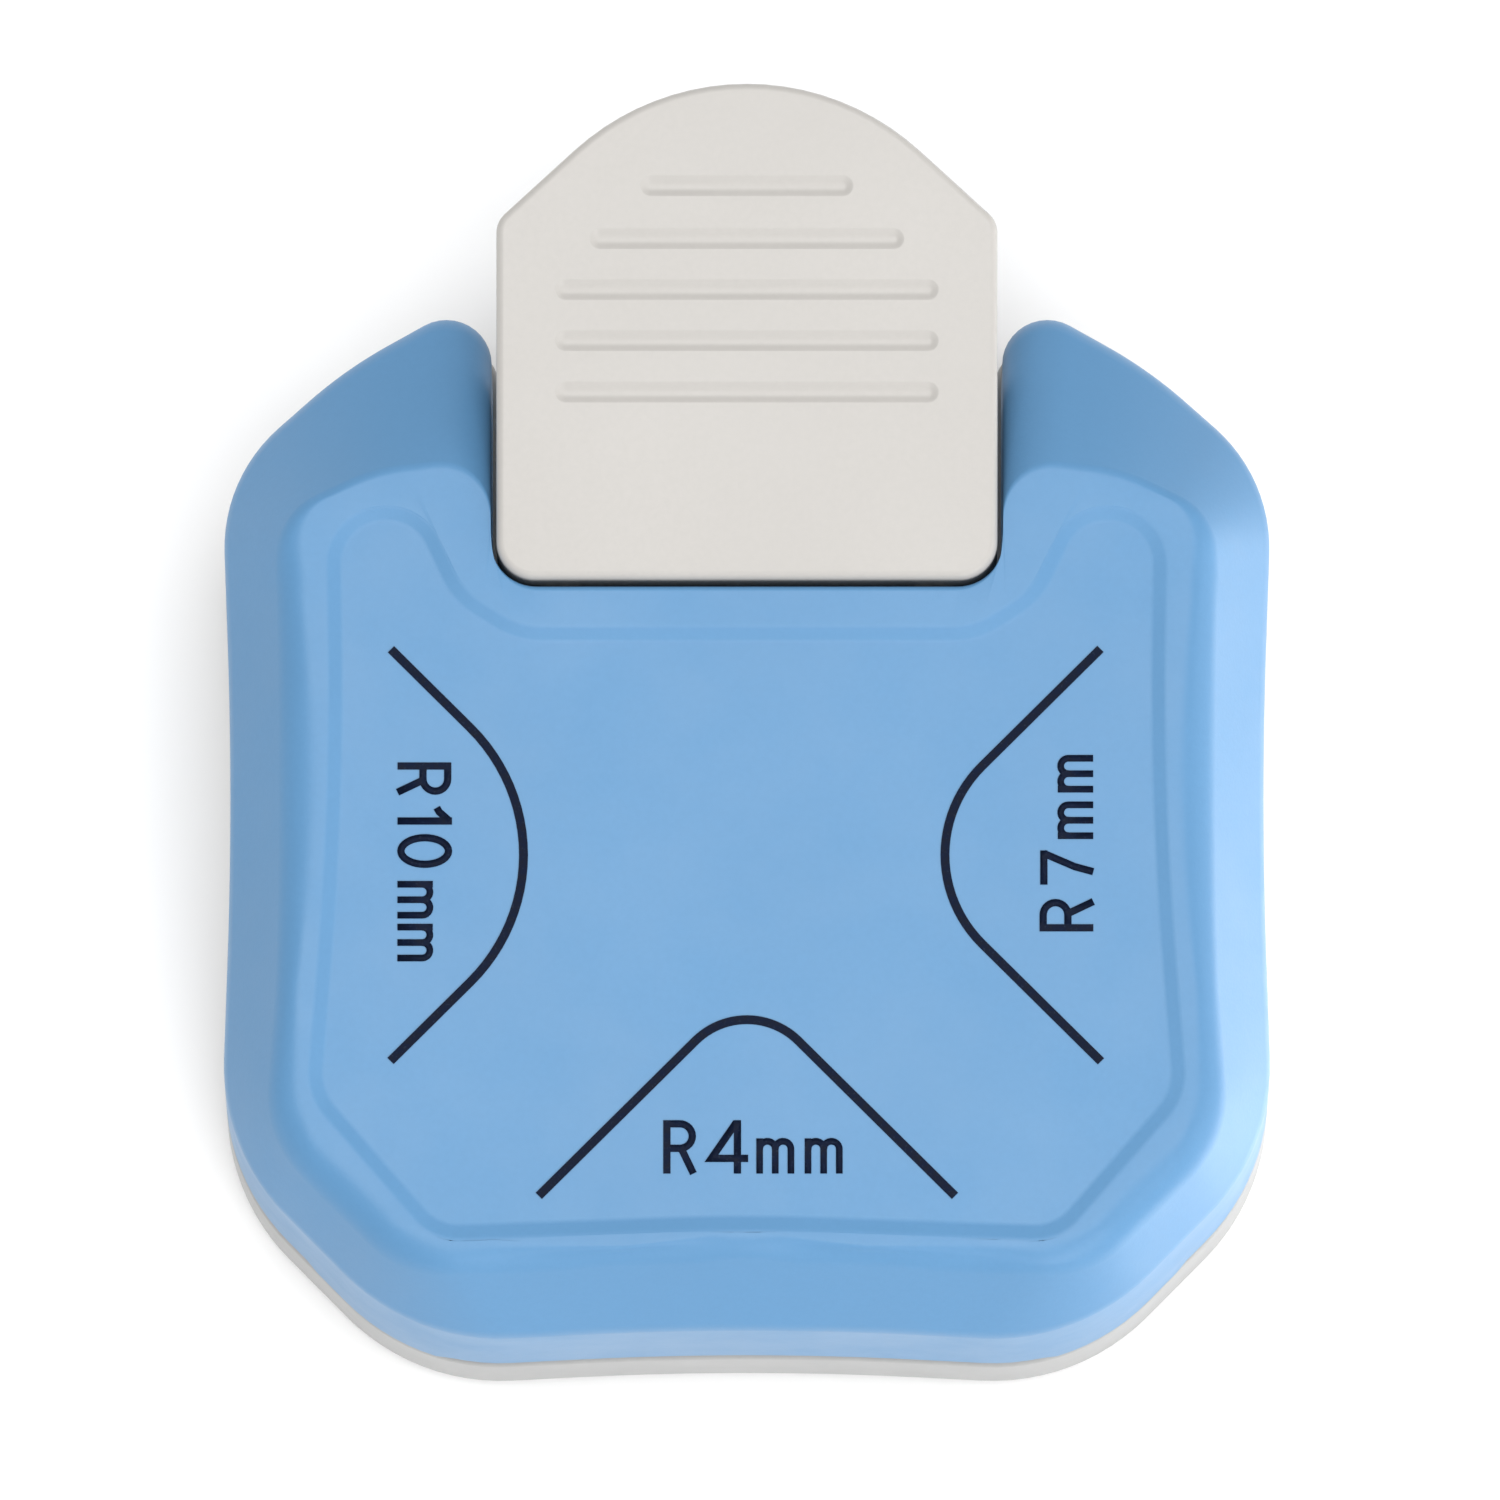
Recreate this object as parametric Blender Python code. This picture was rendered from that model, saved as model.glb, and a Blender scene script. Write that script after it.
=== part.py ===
"""Three-size paper corner rounder, every piece modelled separately at its real size.

Lengths below are millimetres in the case's own frame: X to the right, Y to the back, Z up from the
table, with Y = 0 on the case's waist. The assembly empty moves that frame so that the finished
object stands on its bounding box's bottom centre, in metres.
"""
import math

import bmesh
import bpy
from mathutils import Vector

MM = 0.001
GAP = 0.3          # between pieces that touch on the real object

# Case outlines, right-hand half from the front centre round to the lever notch:
# corner x, corner y, corner radius, arc steps.
NOTCH_HALF = 14.1
NOTCH_FRONT = 12.05
SKIRT = (
    (0.0, -28.3, 180.0, 2),
    (18.4, -29.25, 12.0, 5),
    (29.0, -18.5, 12.0, 5),
    (28.35, 1.0, 250.0, 3),
    (29.0, 19.0, 9.0, 5),
    (22.2, 25.1, 25.0, 2),
    (NOTCH_HALF, 29.7, 2.5, 6),
    (NOTCH_HALF, NOTCH_FRONT, 2.5, 4),
)
CREST = (
    (0.0, -24.5, 120.0, 2),
    (18.6, -25.7, 6.0, 5),
    (25.9, -18.4, 6.0, 5),
    (24.7, 0.5, 200.0, 3),
    (25.5, 16.0, 3.2, 5),
    (20.6, 18.4, 10.0, 2),
    (NOTCH_HALF, 19.2, 2.8, 6),
    (NOTCH_HALF, NOTCH_FRONT, 2.5, 4),
)
PANEL = (
    (0.0, -22.9, 120.0, 2),
    (16.9, -23.5, 2.5, 5),
    (23.4, -16.0, 3.0, 5),
    (22.1, 0.5, 200.0, 3),
    (22.4, 15.7, 2.4, 5),
    (18.3, 15.7, 2.4, 2),
    (16.2, 11.2, 5.0, 6),
    (12.7, 9.0, 5.0, 4),
)
# The white base follows the skirt, but closes straight across behind the lever.
BASE_BACK = 24.5
BASE = SKIRT[:6] + ((14.4, 29.3, 2.2, 4), (13.4, BASE_BACK, 1.0, 2))

# Heights.
WALL = 1.8
BASE_BOTTOM = 0.8
BASE_TOP = 7.5
SLOT_TOP = 8.7
COVER_BOTTOM = 7.7
SKIRT_TOP = 19.4
CREST_Z = 25.0
PANEL_Z = 24.65
CEILING = 22.4
PANEL_WALL = 1.0
FRONT_SLOT = (-16.5, 16.5, -30.0, -25.0)    # paper slots cut in the cover: x and y ranges
SIDE_SLOT = (24.0, 30.0, -23.6, 16.8)

# Plates that carry the three dies.
DECK_BOTTOM = 5.2
POCKET_FLOOR = 6.4
PLATE_HALF = 21.5
PLATE_BACK = 9.2
PLATE_FRONT = -20.4
PLATE_CHAMFER = 6.2
DIE_Z = (6.55, 7.55)
SPACER_Z = (7.7, 8.7)
GUIDE_Z = (8.85, 9.85)
CHIP_OPENING = ((17.0, -11.9), (17.0, 4.9), (-17.0, 4.9), (-17.0, -11.9), (-5.0, -11.9),
                (-5.0, -17.0), (5.0, -17.0), (5.0, -11.9))

# Cutting stations: radius cut, direction of the cut corner from the die centre, distance from the
# die centre to the theoretical paper corner, half width of the punch.
DIE_CENTRE_Y = -3.3
STATIONS = {
    "r10": (10.0, (-1.0, 0.0), 8.2, 7.8),
    "r7": (7.0, (1.0, 0.0), 8.0, 5.8),
    "r4": (4.0, (0.0, -1.0), 7.2, 3.1),
}
OVERCUT = 2.4
SCREW_BACK = 0.2
DIE_CLEARANCE = 0.2
PAPER_REACH = 26.0

# Press: lever pivot, drive pin and ram.
PIVOT_Y = -20.5
PIVOT_Z = 17.0
ARM_INNER = 9.2
ARM_OUTER = 11.2
ARM_HALF_HEIGHT = 1.9
ARM_EYE = 2.6
ARM_RISE = 3.0
PIN_RADIUS = 1.25
PIN_HOLE = PIN_RADIUS + GAP
PUNCH_BOTTOM = 9.0
PUNCH_TOP = 13.2
CARRIER_Z = (13.5, 15.0)
TOWER_HALF = 5.5
CUP_RADIUS = 3.8
CUP_TOP = 18.1
POCKET_TOP = 16.9
POCKET_RADIUS = 2.9
POSTS = {"front_left": (-16.4, -14.6), "front_right": (16.4, -14.6), "rear": (0.0, 3.9)}
POST_TOP = 21.6
SPRING_MEAN = 2.2
SPRING_WIRE = 0.25
SPRING_TURNS = 4.5
PIN_CHAMFER = 0.3
PIN_OVERHANG = 0.9
EAR_INNER = 11.8
EAR_OUTER = 12.8
CLIP_RADIUS = 2.5
CLIP_THICKNESS = 0.6
CLIP_OPENING = math.radians(50.0)

# Lever pad.
PAD_FRONT = 12.4
PAD_TIP = 39.4
PAD_HALF = 13.8
PAD_FRONT_Z = 25.3
PAD_SLOPE = math.tan(math.radians(8.8))
PAD_HEAD_RADIUS = 14.25
PAD_HEAD_ANGLE = math.radians(42.0)
PAD_DEPTH = 6.5
PAD_SKIN = 2.2
GROOVES = ((5.7, 5.3), (8.6, 8.1), (11.5, 10.0), (14.3, 10.0), (17.1, 10.0))
GROOVE_RADIUS = 0.5
GROOVE_DEPTH = 0.35
RIB_END = 25.0       # where the arms end under the pad
SLOT_TRAVEL = 0.6    # how far the drive pin's slot lets it move each way
ARM_BEND = -14.0

# Fastening points, right-hand side.
CASE_SCREWS = {"front": (19.8, -22.3), "rear": (21.8, 20.8)}
DIE_SCREWS = {"front": (10.8, -15.0), "rear": (14.8, 6.9)}
BOSS_RADIUS = 2.6
BOSS_TOP = 18.5
CASE_BORE = 1.4
CASE_BORE_TOP = 15.6
DIE_BORE = 1.2
DIE_BOSS = 2.2
PUNCH_BORE = 1.1

# Chip drawer space and its hinged lid.
CHAMBER = ((26.0, -11.5), (26.0, 11.0), (15.0, 22.5), (-15.0, 22.5), (-26.0, 11.0), (-26.0, -11.5),
           (-11.5, -26.0), (11.5, -26.0))
LID_Z = (0.9, 2.1)
LID_AXIS = (20.4, 1.5)
LID_CLEARANCE = 0.4
LID_BACK = 21.4
LID_TAIL_HALF = 16.1      # narrower back end of the lid, clear of the chamber as it swings
LID_TAIL_FRONT = 19.3
TRUNNION_RADIUS = 0.55
TRUNNION_END = 18.3
BARREL_RADIUS = 0.75
BARREL_END = 15.4
TONGUE_HALF = 4.0
TONGUE_TOP = 4.4
SCOOP_RADIUS = 1.2
SCOOP_HALF = 5.0

SIDES = {"left": -1.0, "right": 1.0}


# ---------------------------------------------------------------- plane geometry

def corner_arc(before, corner, after, radius, steps):
    """Points of the arc that rounds one corner of an outline."""
    into = (corner - before).normalized()
    out = (after - corner).normalized()
    turn = math.atan2(into.x * out.y - into.y * out.x, into.dot(out))
    start = corner - into * radius * math.tan(abs(turn) / 2)
    side = math.copysign(1.0, turn)
    centre = start + Vector((-into.y, into.x)) * radius * side
    first = start - centre
    points = []
    for step in range(steps + 1):
        angle = turn * step / steps
        points.append(centre + Vector((first.x * math.cos(angle) - first.y * math.sin(angle),
                                       first.x * math.sin(angle) + first.y * math.cos(angle))))
    return points


def rounded(corners):
    """Closed outline through corners of (x, y, radius, steps)."""
    points = []
    for index, (x, y, radius, steps) in enumerate(corners):
        before = Vector(corners[index - 1][:2])
        after = Vector(corners[(index + 1) % len(corners)][:2])
        points += corner_arc(before, Vector((x, y)), after, radius, steps)
    return points


def whole(half):
    """Right-hand corners followed by their mirror images, back to the front centre."""
    mirrored = tuple((-x, y, radius, steps) for x, y, radius, steps in reversed(half[1:]))
    return tuple(half) + mirrored


def inset(corners, distance):
    """Corners moved inwards by a distance, or outwards if it is negative."""
    moved = []
    for index, (x, y, radius, steps) in enumerate(corners):
        corner = Vector((x, y))
        into = (corner - Vector(corners[index - 1][:2])).normalized()
        out = (Vector(corners[(index + 1) % len(corners)][:2]) - corner).normalized()
        turn = math.atan2(into.x * out.y - into.y * out.x, into.dot(out))
        bisector = (Vector((-into.y, into.x)) + Vector((-out.y, out.x))).normalized()
        shifted = corner + bisector * distance / math.cos(turn / 2)
        moved.append((shifted.x, shifted.y, max(radius - distance * math.copysign(1.0, turn), 0.4), steps))
    return moved


def case_loop(half, distance=0.0):
    """Points of one outline of the case, inset by a distance."""
    return rounded(inset(whole(half), distance))


def blend(first, second, share):
    """Outline part of the way from one loop to another with as many points."""
    return [a.lerp(b, share) for a, b in zip(first, second)]


def at_height(points, z):
    """Plane points lifted to a height."""
    return [(point[0], point[1], z) for point in points]


def circle(radius, steps):
    """Points of a circle about the origin."""
    angles = [math.tau * step / steps for step in range(steps)]
    return [(radius * math.cos(angle), radius * math.sin(angle)) for angle in angles]


def rectangle(x0, x1, y0, y1):
    """Points of a rectangle."""
    return [(x0, y0), (x1, y0), (x1, y1), (x0, y1)]


# ---------------------------------------------------------------- solid geometry

def add_rings(shape, rings):
    """Skin a row of closed rings of equal length and close both ends."""
    rows = [[shape.verts.new(Vector(point) * MM) for point in ring] for ring in rings]
    for lower, upper in zip(rows, rows[1:]):
        for index in range(len(lower)):
            follow = (index + 1) % len(lower)
            shape.faces.new((lower[index], lower[follow], upper[follow], upper[index]))
    shape.faces.new(rows[0])
    shape.faces.new(rows[-1])


def add_prism(shape, points, z0, z1):
    """Upright prism over an outline in plan."""
    add_rings(shape, [at_height(points, z0), at_height(points, z1)])


def add_slab(shape, points, x0, x1):
    """Prism along X over an outline of (y, z) points."""
    add_rings(shape, [[(x, y, z) for y, z in points] for x in (x0, x1)])


def add_turned(shape, profile, x, y, steps=16):
    """Upright turned solid: profile of (radius, z) about the vertical through x, y."""
    rings = []
    for radius, z in profile:
        rings.append([(x + px, y + py, z) for px, py in circle(radius, steps)])
    add_rings(shape, rings)


def add_rod(shape, profile, y, z, steps=16):
    """Turned solid along X: profile of (radius, x) about the line through y, z."""
    rings = []
    for radius, x in profile:
        rings.append([(x, y + py, z + pz) for py, pz in circle(radius, steps)])
    add_rings(shape, rings)


def add_tube(shape, path, radius, sides):
    """Round wire along a path."""
    rings = []
    for index, point in enumerate(path):
        ahead = path[min(index + 1, len(path) - 1)]
        behind = path[max(index - 1, 0)]
        along = (ahead - behind).normalized()
        outward = along.cross(Vector((0.0, 0.0, 1.0))).normalized()
        upward = outward.cross(along)
        rings.append([tuple(point + outward * px + upward * py) for px, py in circle(radius, sides)])
    add_rings(shape, rings)


# ---------------------------------------------------------------- scene objects

def clear_scene():
    """Start from an empty scene."""
    for item in list(bpy.data.objects):
        bpy.data.objects.remove(item, do_unlink=True)


def linear(channel):
    """Display value of one colour channel, 0 to 255, as a linear one."""
    value = channel / 255.0
    return value / 12.92 if value <= 0.04045 else ((value + 0.055) / 1.055) ** 2.4


def make_material(name, colour, roughness, metallic):
    """Principled material from a display colour."""
    material = bpy.data.materials.new(name)
    material.use_nodes = True
    shader = material.node_tree.nodes["Principled BSDF"]
    shader.inputs["Base Color"].default_value = (*[linear(channel) for channel in colour], 1.0)
    shader.inputs["Roughness"].default_value = roughness
    shader.inputs["Metallic"].default_value = metallic
    return material


def make_empty(name, position, parent=None):
    """Empty at a position of the case frame, which the pieces about it hang from."""
    empty = bpy.data.objects.new(name, None)
    empty.location = Vector(position) * MM
    empty.parent = parent
    bpy.context.scene.collection.objects.link(empty)
    return empty


def make_object(name, shape, holder):
    """Object from a shape drawn in the case frame, hung from a holder."""
    bmesh.ops.recalc_face_normals(shape, faces=shape.faces)
    if holder.parent:
        bmesh.ops.translate(shape, verts=shape.verts, vec=-holder.location)
    mesh = bpy.data.meshes.new(name)
    shape.to_mesh(mesh)
    shape.free()
    item = bpy.data.objects.new(name, mesh)
    item.parent = holder
    bpy.context.scene.collection.objects.link(item)
    return item


def make_piece(name, shape, material, holder):
    """One real piece of the object."""
    item = make_object(name, shape, holder)
    item.data.materials.append(material)
    item.data.shade_smooth()
    item.data.set_sharp_from_angle(angle=math.radians(32.0))
    return item


def combine(item, shape, operation, name):
    """Join a shape to a piece, or cut it away, with a hidden tool object."""
    tool = make_object(name, shape, item.parent)
    tool.hide_render = True
    tool.display_type = "WIRE"
    modifier = item.modifiers.new(name, "BOOLEAN")
    modifier.operation = operation
    modifier.solver = "EXACT"
    modifier.object = tool


# ---------------------------------------------------------------- shared outlines

def station_point(station, along, across):
    """Plan point at a distance out from the die centre and across a cutting station."""
    out_x, out_y = STATIONS[station][1]
    return (out_x * along - out_y * across, DIE_CENTRE_Y + out_y * along + out_x * across)


def punch_outline(station, clearance=0.0):
    """Punch in plan: a block with a concave cutting face of the station's radius."""
    radius, _, corner, half = STATIONS[station]
    centre = corner + radius * math.sqrt(2.0)
    half += clearance
    radius -= clearance
    reach = math.asin(half / radius)
    steps = 10
    points = []
    for step in range(steps + 1):
        angle = reach * (1.0 - 2.0 * step / steps)
        points.append(station_point(station, centre - radius * math.cos(angle),
                                    radius * math.sin(angle)))
    inner = corner - OVERCUT - clearance
    chamfer = half * 0.35
    points.append(station_point(station, inner + chamfer, -half))
    points.append(station_point(station, inner, -half + chamfer))
    points.append(station_point(station, inner, half - chamfer))
    points.append(station_point(station, inner + chamfer, half))
    return points


def plate_outline(grow=0.0):
    """Common outline of the three stacked plates."""
    half = PLATE_HALF + grow
    front = PLATE_FRONT - grow
    back = PLATE_BACK + grow
    cut = PLATE_CHAMFER
    return [(half - cut, front), (half, front + cut), (half, back), (-half, back),
            (-half, front + cut), (-half + cut, front)]


def pad_outline(distance=0.0):
    """Lever pad in plan."""
    shoulder_y = PAD_TIP + PAD_HEAD_RADIUS * (1.0 / math.cos(PAD_HEAD_ANGLE) - 1.0)
    shoulder_y -= PAD_HALF * math.tan(PAD_HEAD_ANGLE)
    peak_y = shoulder_y + PAD_HALF * math.tan(PAD_HEAD_ANGLE)
    corners = ((PAD_HALF, PAD_FRONT, 2.1, 4), (PAD_HALF, shoulder_y, 1.4, 3),
               (0.0, peak_y, PAD_HEAD_RADIUS, 14), (-PAD_HALF, shoulder_y, 1.4, 3),
               (-PAD_HALF, PAD_FRONT, 2.1, 4))
    return rounded(inset(corners, distance))


def pad_height(y):
    """Height of the pad's top face."""
    return PAD_FRONT_Z + (y - PAD_FRONT) * PAD_SLOPE


def pad_ring(distance, drop):
    """Pad outline laid parallel to its top face, a drop below it."""
    return [(x, y, pad_height(y) - drop) for x, y in pad_outline(distance)]


def arm_height(y):
    """Height of the lever arms' centre line."""
    return PIVOT_Z + (y - PIVOT_Y) * ARM_RISE / (PAD_FRONT - PIVOT_Y)


DRIVE_PIN_Z = arm_height(DIE_CENTRE_Y)


def pin_profile(end):
    """Profile of a cross pin with chamfered ends at -end and end."""
    return [(PIN_RADIUS - PIN_CHAMFER, -end), (PIN_RADIUS, PIN_CHAMFER - end),
            (PIN_RADIUS, end - PIN_CHAMFER), (PIN_RADIUS - PIN_CHAMFER, end)]


# ---------------------------------------------------------------- case

def build_cover(material, holder):
    """Top cover: a tapering shell with a raised rim, a sunken panel and the lever notch."""
    skirt = case_loop(SKIRT)
    crest = case_loop(CREST)
    inner_skirt = case_loop(SKIRT, WALL)
    rings = [
        at_height(case_loop(CREST, WALL + 0.6), CEILING),
        at_height(inner_skirt, SKIRT_TOP - 0.6),
        at_height(inner_skirt, COVER_BOTTOM),
        at_height(skirt, COVER_BOTTOM),
        at_height(skirt, SKIRT_TOP),
        at_height(blend(skirt, crest, 0.1), SKIRT_TOP + 0.9),
        at_height(blend(skirt, crest, 0.88), CREST_Z - 0.5),
        at_height(case_loop(CREST, 0.3), CREST_Z),
        at_height(case_loop(PANEL, -PANEL_WALL), CREST_Z - 0.05),
        at_height(case_loop(PANEL), PANEL_Z),
    ]
    shell = bmesh.new()
    add_rings(shell, rings)
    cover = make_piece("top_cover", shell, material, holder)

    bosses = bmesh.new()
    cuts = bmesh.new()
    for side in SIDES.values():
        for x, y in CASE_SCREWS.values():
            boss = [(BOSS_RADIUS, COVER_BOTTOM + 0.2), (BOSS_RADIUS, BOSS_TOP)]
            add_turned(bosses, boss, side * x, y)
            bore = [(CASE_BORE, COVER_BOTTOM - 0.5), (CASE_BORE, CASE_BORE_TOP)]
            add_turned(cuts, bore, side * x, y, 12)
        arm_slot = rectangle(ARM_INNER - 0.4, ARM_OUTER + 0.4,
                             NOTCH_FRONT - WALL - 0.8, NOTCH_FRONT + 0.5)
        add_prism(cuts, [(side * x, y) for x, y in arm_slot], COVER_BOTTOM - 1.0, CEILING - 0.1)
        side_slot = rectangle(*SIDE_SLOT)
        add_prism(cuts, [(side * x, y) for x, y in side_slot], COVER_BOTTOM - 1.0, SLOT_TOP)
    add_prism(cuts, rectangle(*FRONT_SLOT), COVER_BOTTOM - 1.0, SLOT_TOP)
    combine(cover, bosses, "UNION", "cover_bosses")
    combine(cover, cuts, "DIFFERENCE", "cover_cuts")


def build_base(material, holder):
    """Base: deck with the die pocket above, chip space with its lid opening below."""
    outline = case_loop(BASE)
    body = bmesh.new()
    add_rings(body, [
        at_height(case_loop(BASE, 0.5), BASE_BOTTOM), at_height(outline, BASE_BOTTOM + 0.5),
        at_height(outline, BASE_TOP - 0.25), at_height(case_loop(BASE, 0.25), BASE_TOP),
    ])
    base = make_piece("base_shell", body, material, holder)

    chamber = bmesh.new()
    add_prism(chamber, CHAMBER, 0.0, DECK_BOTTOM)
    combine(base, chamber, "DIFFERENCE", "base_chamber")

    bosses = bmesh.new()
    pocket = bmesh.new()
    add_prism(pocket, plate_outline(GAP), POCKET_FLOOR, BASE_TOP + 1.0)
    holes = bmesh.new()
    add_prism(holes, CHIP_OPENING, DECK_BOTTOM - 1.0, POCKET_FLOOR + 0.3)
    for side in SIDES.values():
        for x, y in DIE_SCREWS.values():
            add_turned(bosses, [(DIE_BOSS, 2.5), (DIE_BOSS, DECK_BOTTOM + 0.4)], side * x, y)
            add_turned(holes, [(DIE_BORE, 3.2), (DIE_BORE, POCKET_FLOOR + 0.5)], side * x, y, 12)
        for x, y in CASE_SCREWS.values():
            add_turned(holes, [(2.7, 0.0), (2.7, 1.8), (2.3, 1.8), (2.3, 4.2), (CASE_BORE, 4.2),
                               (CASE_BORE, BASE_TOP + 0.5)], side * x, y, 16)
        seat = TRUNNION_RADIUS + GAP
        seat_end = TRUNNION_END + GAP
        add_rod(holes, [(seat, side * 14.0), (seat, side * seat_end)], *LID_AXIS, 12)
    combine(base, pocket, "DIFFERENCE", "base_pocket")
    combine(base, bosses, "UNION", "base_bosses")
    combine(base, holes, "DIFFERENCE", "base_holes")


def build_lid(material, holder):
    """Hinged bottom lid with two trunnions and a front latch tongue."""
    corners = [(x, y, 1.0, 2) for x, y in CHAMBER]
    outline = [(point.x, min(point.y, LID_BACK)) for point in rounded(inset(corners, LID_CLEARANCE))]
    plate = bmesh.new()
    add_prism(plate, outline, *LID_Z)
    lid = make_piece("bottom_lid", plate, material, holder)

    reliefs = bmesh.new()
    for side in SIDES.values():
        corner = rectangle(LID_TAIL_HALF, TRUNNION_END, LID_TAIL_FRONT, LID_BACK + 1.0)
        add_prism(reliefs, [(side * x, y) for x, y in corner], LID_Z[0] - 0.5, LID_Z[1] + 0.5)
    combine(lid, reliefs, "DIFFERENCE", "lid_reliefs")

    extras = bmesh.new()
    front = min(y for _, y in outline)
    tongue = rectangle(-TONGUE_HALF, TONGUE_HALF, front + 0.2, front + 1.2)
    add_prism(extras, tongue, LID_Z[0] + 0.3, TONGUE_TOP)
    hinge = [(TRUNNION_RADIUS, -TRUNNION_END), (TRUNNION_RADIUS, -BARREL_END),
             (BARREL_RADIUS, -BARREL_END), (BARREL_RADIUS, BARREL_END),
             (TRUNNION_RADIUS, BARREL_END), (TRUNNION_RADIUS, TRUNNION_END)]
    add_rod(extras, hinge, *LID_AXIS, 12)
    combine(lid, extras, "UNION", "lid_extras")

    scoop = bmesh.new()
    add_rod(scoop, [(SCOOP_RADIUS, -SCOOP_HALF), (SCOOP_RADIUS, SCOOP_HALF)], front + 3.2,
            LID_Z[0] - 0.5, 16)
    combine(lid, scoop, "DIFFERENCE", "lid_scoop")


def build_feet(material, holder):
    """Rubber feet over the case screws."""
    for side_name, side in SIDES.items():
        for end_name, (x, y) in CASE_SCREWS.items():
            foot = bmesh.new()
            add_turned(foot, [(2.1, 0.0), (2.4, 0.3), (2.4, 1.5)], side * x, y, 20)
            make_piece(f"rubber_foot_{end_name}_{side_name}", foot, material, holder)


def build_case_screws(material, holder):
    """Self-tapping screws that hold the base to the cover."""
    for side_name, side in SIDES.items():
        for end_name, (x, y) in CASE_SCREWS.items():
            screw = bmesh.new()
            profile = [(1.7, 2.5), (2.0, 2.8), (2.0, 3.9), (1.1, 3.9), (1.1, 14.6), (0.5, 15.3)]
            add_turned(screw, profile, side * x, y, 14)
            item = make_piece(f"case_screw_{end_name}_{side_name}", screw, material, holder)
            cross = bmesh.new()
            add_prism(cross, rectangle(side * x - 1.1, side * x + 1.1, y - 0.25, y + 0.25), 2.0, 3.2)
            combine(item, cross, "DIFFERENCE", f"case_screw_slot_{end_name}_{side_name}")


# ---------------------------------------------------------------- dies and guides

def build_plates(steel, holder):
    """Die plate, paper guide plate with its three V stops, and punch guide plate with pivot ears."""
    die = bmesh.new()
    add_prism(die, plate_outline(), *DIE_Z)
    die_plate = make_piece("die_plate", die, steel["die"], holder)

    spacer = bmesh.new()
    add_prism(spacer, plate_outline(), *SPACER_Z)
    paper_guide = make_piece("paper_guide_plate", spacer, steel["spacer"], holder)

    guide = bmesh.new()
    add_prism(guide, plate_outline(), *GUIDE_Z)
    guide_plate = make_piece("guide_plate", guide, steel["guide"], holder)

    die_cuts = bmesh.new()
    paper_cuts = bmesh.new()
    guide_cuts = bmesh.new()
    for station, (_, _, corner, _) in STATIONS.items():
        hole = punch_outline(station, DIE_CLEARANCE)
        for cuts, (low, high) in ((die_cuts, DIE_Z), (guide_cuts, GUIDE_Z)):
            add_prism(cuts, hole, low - 0.5, high + 0.5)
        throat = [station_point(station, corner, 0.0),
                  station_point(station, corner + PAPER_REACH, PAPER_REACH),
                  station_point(station, corner + PAPER_REACH, -PAPER_REACH)]
        mouth = bmesh.new()
        add_prism(mouth, throat, SPACER_Z[0] - 0.5, SPACER_Z[1] + 0.5)
        combine(paper_guide, mouth, "DIFFERENCE", f"paper_mouth_{station}")
        add_prism(paper_cuts, punch_outline(station, 2.0 * DIE_CLEARANCE), SPACER_Z[0] - 0.4,
                  SPACER_Z[1] + 0.4)
    for side in SIDES.values():
        for x, y in DIE_SCREWS.values():
            for cuts, (low, high) in ((die_cuts, DIE_Z), (paper_cuts, SPACER_Z)):
                add_turned(cuts, [(DIE_BORE, low - 0.5), (DIE_BORE, high + 0.5)], side * x, y, 12)
            low, high = GUIDE_Z
            add_turned(guide_cuts, [(DIE_BORE, low - 0.5), (DIE_BORE, low + 0.15), (2.1, high - 0.05),
                                    (2.1, high + 0.5)], side * x, y, 14)
    for x, y in POSTS.values():
        add_turned(guide_cuts, [(PIN_HOLE, GUIDE_Z[0] - 0.5), (PIN_HOLE, GUIDE_Z[1] + 0.5)], x, y, 16)

    ears = bmesh.new()
    ear_top = [(PIVOT_Y + ARM_EYE * math.cos(angle), PIVOT_Z + ARM_EYE * math.sin(angle))
               for angle in (math.radians(10.0 + 20.0 * step) for step in range(9))]
    ear_foot = [(-20.2, GUIDE_Z[0] + 0.2), (-17.7, GUIDE_Z[0] + 0.2)]
    ear_outline = ear_foot + ear_top + [(-22.6, 14.0)]
    pivot_holes = bmesh.new()
    for side in SIDES.values():
        add_slab(ears, ear_outline, side * EAR_INNER, side * EAR_OUTER)
        through = [(PIN_HOLE, side * (EAR_INNER - 0.5)), (PIN_HOLE, side * (EAR_OUTER + 0.5))]
        add_rod(pivot_holes, through, PIVOT_Y, PIVOT_Z, 16)
    combine(guide_plate, ears, "UNION", "guide_ears")
    combine(guide_plate, pivot_holes, "DIFFERENCE", "guide_pivot_holes")
    combine(die_plate, die_cuts, "DIFFERENCE", "die_cuts")
    combine(paper_guide, paper_cuts, "DIFFERENCE", "paper_cuts")
    combine(guide_plate, guide_cuts, "DIFFERENCE", "guide_cuts")


def build_die_screws(material, holder):
    """Countersunk screws through the three plates into the base."""
    for side_name, side in SIDES.items():
        for end_name, (x, y) in DIE_SCREWS.items():
            screw = bmesh.new()
            profile = [(0.5, 3.5), (0.9, 4.1), (0.9, GUIDE_Z[0] + 0.1), (1.8, GUIDE_Z[1] - 0.05)]
            add_turned(screw, profile, side * x, y, 14)
            make_piece(f"die_screw_{end_name}_{side_name}", screw, material, holder)


def build_posts(material, holder):
    """Pressed-in guide posts that the ram slides on."""
    for name, (x, y) in POSTS.items():
        post = bmesh.new()
        add_turned(post, [(PIN_RADIUS, GUIDE_Z[0] + 0.05), (PIN_RADIUS, POST_TOP - 0.4),
                          (PIN_RADIUS - 0.4, POST_TOP)], x, y)
        make_piece(f"guide_post_{name}", post, material, holder)


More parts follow.
